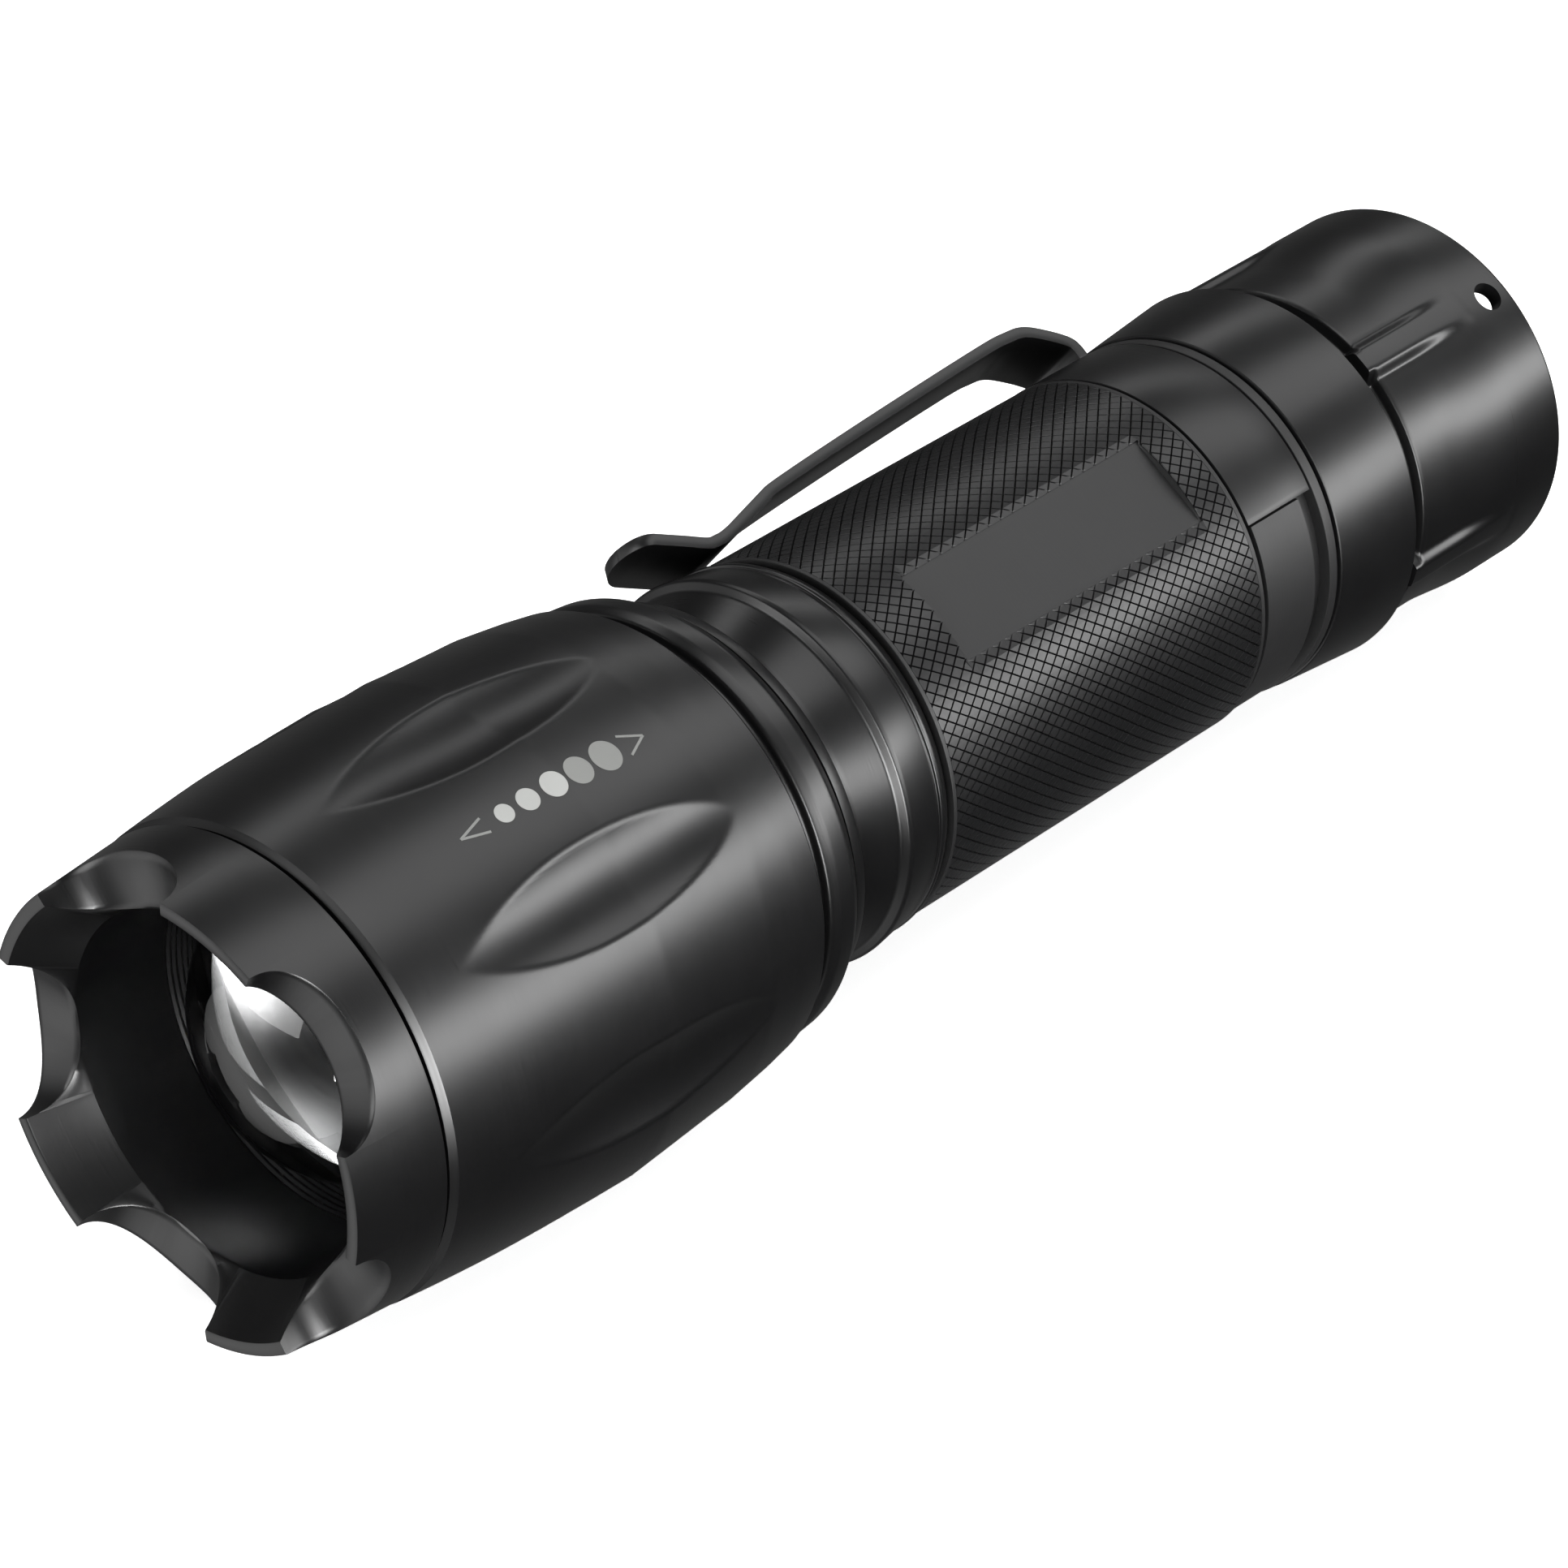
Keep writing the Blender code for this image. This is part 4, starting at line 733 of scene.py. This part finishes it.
def trim_knurl(cells, start, end):
    """Cut the cells to the grip's length and clear them from both label flats."""
    half = math.degrees(math.acos(PANEL_DISTANCE / (TUBE_R - KNURL_DEPTH))) + 0.2
    cuts = [(to_world(0.0, 0.0, z), Vector((0.0, -1.0, 0.0))) for z in (start, end, PANEL_START, PANEL_END)]
    for edge in (-half, half):
        a = math.radians(PANEL_ANGLE + edge)
        cuts.append((to_world(0.0, 0.0, 0.0), Vector((-math.sin(a), 0.0, math.cos(a)))))
    for point, normal in cuts:
        bmesh.ops.bisect_plane(cells, geom=cells.verts[:] + cells.edges[:] + cells.faces[:],
                               plane_co=point, plane_no=normal, dist=1e-7)

    def from_panel(point):
        """Distance along the axis, angle around it and degrees from the nearest flat."""
        angle = math.degrees(math.atan2(point.z - AXIS_Z, point.x))
        return along(point.y), angle, from_centre(angle, 2, PANEL_ANGLE)

    gone = []
    for face in cells.faces:
        z, _, aside = from_panel(face.calc_center_median())
        if z < start or z > end or (PANEL_START < z < PANEL_END and abs(aside) < half):
            gone.append(face)
    bmesh.ops.delete(cells, geom=gone, context="FACES")
    for vert in cells.verts:
        z, angle, aside = from_panel(vert.co)
        r = math.hypot(vert.co.x, vert.co.z - AXIS_Z) / MM
        most = PANEL_DISTANCE / math.cos(math.radians(aside)) + 0.02
        if PANEL_START < z < PANEL_END and r > most:
            vert.co = polar(most, angle, z)


def build_knurl():
    """Diamond knurling as a thin skin of real cells on the tube."""
    start, end = KNURL_START + 0.38, TUBE_END - 0.33
    cells = knurl_cells(start, end)
    trim_knurl(cells, start, end)
    knurl = add_object("knurled_grip", cells, M["knurl"], smooth=False)
    shell = knurl.modifiers.new("shell", "SOLIDIFY")
    shell.thickness = 0.12 * MM
    shell.offset = -1.0
    apply_all(knurl)
    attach(knurl, "barrel")
    return knurl


# ---- clip ------------------------------------------------------------------------------

def clip_route():
    """Middle of the clip's sheet as (z, r), rounded where the real sheet is bent."""
    z0 = CLIP_START + 0.45
    tip = z0 + 45.8
    corners = [(z0, 13.8), (z0, 14.8), (z0 + 0.35, 15.6), (z0 + 1.8, 16.85), (z0 + 3.4, 17.85),
               (z0 + 5.1, 18.12), (z0 + 8.5, 18.13), (z0 + 21.6, 17.47), (z0 + 31.8, 16.8),
               (z0 + 33.9, 16.4), (z0 + 38.2, 15.45), (tip - 6.1, 15.35), (tip - 5.3, 15.5),
               (tip - 3.7, 16.4), (tip - 1.8, 17.45), (tip - 0.9, 17.95), (tip - 0.3, 18.25),
               (tip, 18.4)]
    return curve_rows(corners, 8)


def clip_band():
    """Open band that grips the tube in its groove."""
    band = bmesh.new()
    steps = 120
    corners = ((CLIP_BAND_IN_R, CLIP_START), (CLIP_BAND_OUT_R, CLIP_START),
               (CLIP_BAND_OUT_R, CLIP_END), (CLIP_BAND_IN_R, CLIP_END))
    rings = []
    for k in range(steps + 1):
        angle = CLIP_ANGLE + CLIP_BAND_HALF * (2 * k / steps - 1)
        rings.append([band.verts.new(polar(r, angle, z)) for r, z in corners])
    skinned(band, rings)
    return add_object("pocket_clip_fine", band, M["clip"])


def clip_arm():
    """Flat strip along the route, with a rounded end."""
    arm = bmesh.new()
    route = clip_route()
    a = math.radians(CLIP_ANGLE)
    sections = []
    for i, (z, r) in enumerate(route):
        z_a, r_a = route[max(i - 1, 0)]
        z_b, r_b = route[min(i + 1, len(route) - 1)]
        length = math.hypot(z_b - z_a, r_b - r_a)
        n_z, n_r = -(r_b - r_a) / length, (z_b - z_a) / length
        reach = sum(math.dist(p, q) for p, q in zip(route[i:], route[i + 1:]))
        width = CLIP_HALF
        if reach < TIP_CORNER:
            left = 1.0 - ((TIP_CORNER - reach) / TIP_CORNER) ** 2
            width *= math.sqrt(max(TIP_NARROWEST, left))
        section = []
        for side, across in ((-1, -1), (1, -1), (1, 1), (-1, 1)):
            lift = side * CLIP_HALF_THICKNESS
            r_at, z_at, t = r + lift * n_r, z + lift * n_z, across * width
            section.append(arm.verts.new(to_world(r_at * math.cos(a) - t * math.sin(a),
                                                  r_at * math.sin(a) + t * math.cos(a), z_at)))
        sections.append(section)
    skinned(arm, sections)
    return add_object("clip_arm", arm, M["clip"])


def build_clip():
    """One piece of spring sheet: C-band, riser, arm, valley and rounded tip."""
    clip = clip_band()
    cut_with(clip, clip_arm(), "UNION")
    soften(clip, 0.16, 2, 40.0)
    return finish_piece(clip, "pocket_clip", "barrel")


# ---- markings ------------------------------------------------------------------------------

MARK_ANGLE = 62.2
MARK_LIFT, MARK_SINK = 0.03, 0.05         # how far a mark's two faces lie from the sleeve
MARK_STROKE = 0.09                        # half of a chevron's line


def sleeve_radius(z):
    """Outside radius of the sleeve between two dimples."""
    rows = head_profile()
    for (z_a, r_a), (z_b, r_b) in zip(rows, rows[1:]):
        if z_a <= z <= z_b and z_b > z_a:
            return r_a + (r_b - r_a) * (z - z_a) / (z_b - z_a)
    return rows[-1][1]


def on_sleeve(z, across, lift):
    """World point on the sleeve, across in mm around from the marking line."""
    r = sleeve_radius(z)
    return polar(r + lift, MARK_ANGLE + math.degrees(across / r), z)


def inlay(name, outline, material):
    """A thin closed patch that follows the sleeve, from an outline of (z, across)."""
    patch = bmesh.new()
    layers = []
    centre = (sum(p[0] for p in outline) / len(outline), sum(p[1] for p in outline) / len(outline))
    for lift in (-MARK_SINK, MARK_LIFT):
        ring = [patch.verts.new(on_sleeve(z, t, lift)) for z, t in outline]
        layers.append((ring, patch.verts.new(on_sleeve(*centre, lift))))
    for ring, middle in layers:
        for k in range(len(ring)):
            patch.faces.new((ring[k], ring[(k + 1) % len(ring)], middle))
    bridge(patch, layers[0][0], layers[1][0])
    mark = add_object(name, patch, material, sharp=60)
    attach(mark, "zoom_head")
    return mark


def build_marks():
    """Zoom scale: five growing dots between two open chevrons."""
    dots = ((109.95, 0.72, "mark"), (107.8, 0.86, "mark"), (105.4, 1.0, "mark"),
            (103.0, 1.1, "dim_mark"), (100.35, 1.22, "dim_mark"))
    for i, (z, size, finish) in enumerate(dots):
        around = [math.radians(angle) for angle in even_angles(40)]
        outline = [(z + size * math.cos(t), size * math.sin(t)) for t in around]
        inlay("zoom_dot_%d" % (i + 1), outline, M[finish])
    chevrons = (("zoom_arrow_front", 113.9, -2.2, 0.6), ("zoom_arrow_rear", 96.65, 1.9, 0.85))
    for name, tip, length, spread in chevrons:
        for side, side_name in ((-1.0, "left"), (1.0, "right")):
            end, aside = tip + length, side * spread
            stroke = MARK_STROKE / math.hypot(length, aside)
            n_z, n_t = -aside * stroke, length * stroke
            outline = [(tip - n_z, -n_t), (end - n_z, aside - n_t), (end + n_z, aside + n_t),
                       (tip + n_z, n_t)]
            inlay("%s_%s" % (name, side_name), outline, M["dim_mark"])


# ---- CAD pieces that stay ---------------------------------------------------------------------

KEPT = {
    "switch_housing": "plastic", "switch_plunger": "plastic", "switch_return_spring": "wire",
    "switch_contact_board": "board", "switch_retaining_ring": "bare", "tail_contact_spring": "wire",
    "battery_cell": "wrap", "cell_insulator_ring": "white", "battery_sleeve": "white",
    "travel_stop_ring": "body", "led_pill": "bare", "driver_board": "board", "driver_chip": "plastic",
    "driver_inductor": "plastic", "driver_contact_spring": "wire", "led_wire_positive": "red",
    "led_wire_negative": "rubber", "led_star_board": "white", "led_package": "phosphor",
    "led_dome": "dome", "led_centring_ring": "white", "rear_tube_seal": "rubber",
    "front_tube_seal": "rubber", "stop_ring_seal": "rubber", "neck_wiper_seal": "rubber",
    "lens_gasket": "rubber",
}


def dress_kept_nodes():
    """Give every CAD node that still shows its own procedural finish."""
    for node, finish in KEPT.items():
        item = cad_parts[node]
        item.data.materials.clear()
        item.data.materials.append(M[finish])


def press_return_spring():
    """Give the spring under the button its own mesh data."""
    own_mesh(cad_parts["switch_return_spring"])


# ---- studio -------------------------------------------------------------------------------------

def soft_box(name, place, target, width, height, power):
    """A rectangular area light aimed at a point."""
    light = bpy.data.lights.new(name, "AREA")
    light.shape = "RECTANGLE"
    light.size, light.size_y = width, height
    light.energy = power
    item = bpy.data.objects.new(name, light)
    bpy.context.scene.collection.objects.link(item)
    item.location = place
    item.rotation_euler = (Vector(target) - Vector(place)).to_track_quat("-Z", "Y").to_euler()
    return item


def build_floor():
    """Bright paper floor, tilted so that the belly and the tail cap both rest on it."""
    clear = 0.02
    belly = to_world(0.0, -(BELLY_R + clear), BELLY_Z)
    ring = to_world(0.0, -(CAP_RING_R + clear), CAP_GROOVE_END)
    tilt = math.atan2(ring.z - belly.z, ring.y - belly.y)
    floor = bmesh.new()
    half = 4.0
    floor.faces.new([floor.verts.new((x * half, y * half, 0.0))
                     for x, y in ((-1, -1), (1, -1), (1, 1), (-1, 1))])
    material, tree, shader = nodes_of("floor_paper")
    paper = tint(tree, noise(tree, place_of(tree), 3.0), (0.86, 0.86, 0.86), (0.90, 0.90, 0.90))
    tree.links.new(paper, shader.inputs["Base Color"])
    tree.links.new(paper, shader.inputs["Emission Color"])
    shader.inputs["Emission Strength"].default_value = 0.75
    shader.inputs["Roughness"].default_value = 0.9
    shader.inputs["Specular IOR Level"].default_value = 0.1
    item = add_object("studio_floor", floor, material, smooth=False)
    item.rotation_euler = (tilt, 0.0, 0.0)
    item.location = belly - Vector((0.0, 0.0, clear * MM))
    item.visible_glossy = False


def long_strip(name, angle, height, power):
    """A strip light parallel to the flashlight, at an angle around its axis."""
    a = math.radians(angle)
    distance, length = 0.6, 1.5
    aim = to_world(0.0, 0.0, LENGTH / 2) + Vector((0.0, 0.8 * distance, 0.0))
    place = aim + Vector((math.cos(a), 0.0, math.sin(a))) * distance
    return soft_box(name, place, aim, length, height, power)


def build_world():
    """Dim room with a soft pale area low on the left, brighter towards the front."""
    world = bpy.data.worlds.new("studio_world")
    world.use_nodes = True
    tree = world.node_tree
    ray = add_node(tree, "ShaderNodeTexCoord").outputs["Generated"]
    low_left = add_node(tree, "ShaderNodeVectorMath", {0: ray, 1: (-0.7, 0.0, -0.7)},
                        operation="DOT_PRODUCT").outputs["Value"]
    front = add_node(tree, "ShaderNodeVectorMath", {0: ray, 1: (0.0, -1.0, 0.0)},
                     operation="DOT_PRODUCT").outputs["Value"]
    side = mapped(tree, low_left, 0.2, 0.7, 0.0, 1.0)
    ahead = mapped(tree, front, 0.2, 0.6, 0.12, 1.2)
    glow = add_node(tree, "ShaderNodeMath", {0: side, 1: ahead}, operation="MULTIPLY").outputs[0]
    dimmest = 0.012
    strength = add_node(tree, "ShaderNodeMath", {0: glow, 1: dimmest}, operation="ADD").outputs[0]
    tree.links.new(strength, tree.nodes["Background"].inputs["Strength"])
    tree.nodes["Background"].inputs["Color"].default_value = (1.0, 1.0, 1.0, 1.0)
    bpy.context.scene.world = world


def build_studio():
    """Floor, dim room, three strips along the side, two cards in front and a wash from above."""
    build_floor()
    build_world()
    centre = to_world(0.0, 0.0, LENGTH / 2)
    long_strip("side_strip", 15.0, 0.21, 7.2)
    long_strip("shoulder_strip", 76.0, 0.36, 2.9)
    long_strip("top_strip", 128.0, 0.12, 1.1)
    soft_box("lens_card", centre + Vector((0.52, -0.80, -0.05)), centre, 0.36, 0.42, 10.0)
    soft_box("front_card", centre + Vector((-0.25, -0.85, 0.28)), centre, 0.6, 0.4, 3.0)
    wash = soft_box("floor_wash", centre + Vector((0.0, 0.0, 1.4)), centre, 2.4, 2.4, 20.0)
    wash.visible_glossy = False
    bpy.context.scene.view_settings.view_transform = "Standard"


def build_camera():
    """Three-quarter view from the front right, through a long lens."""
    azimuth, elevation = math.radians(41.91), math.radians(32.53)
    camera = bpy.data.cameras.new("camera")
    camera.lens = 139.75
    camera.sensor_width = 36.0
    camera.clip_start = 0.01
    item = bpy.data.objects.new("camera", camera)
    bpy.context.scene.collection.objects.link(item)
    item.location = to_world(243.61, 230.32, 344.41)
    item.rotation_euler = (math.pi / 2 - elevation, 0.0, azimuth)
    bpy.context.scene.camera = item


build_head_sleeve()
build_bezel()
build_lens()
build_core()
build_tail_cap()
build_boot()
build_tube()
build_knurl()
build_clip()
build_marks()
dress_kept_nodes()
press_return_spring()
build_studio()
build_camera()
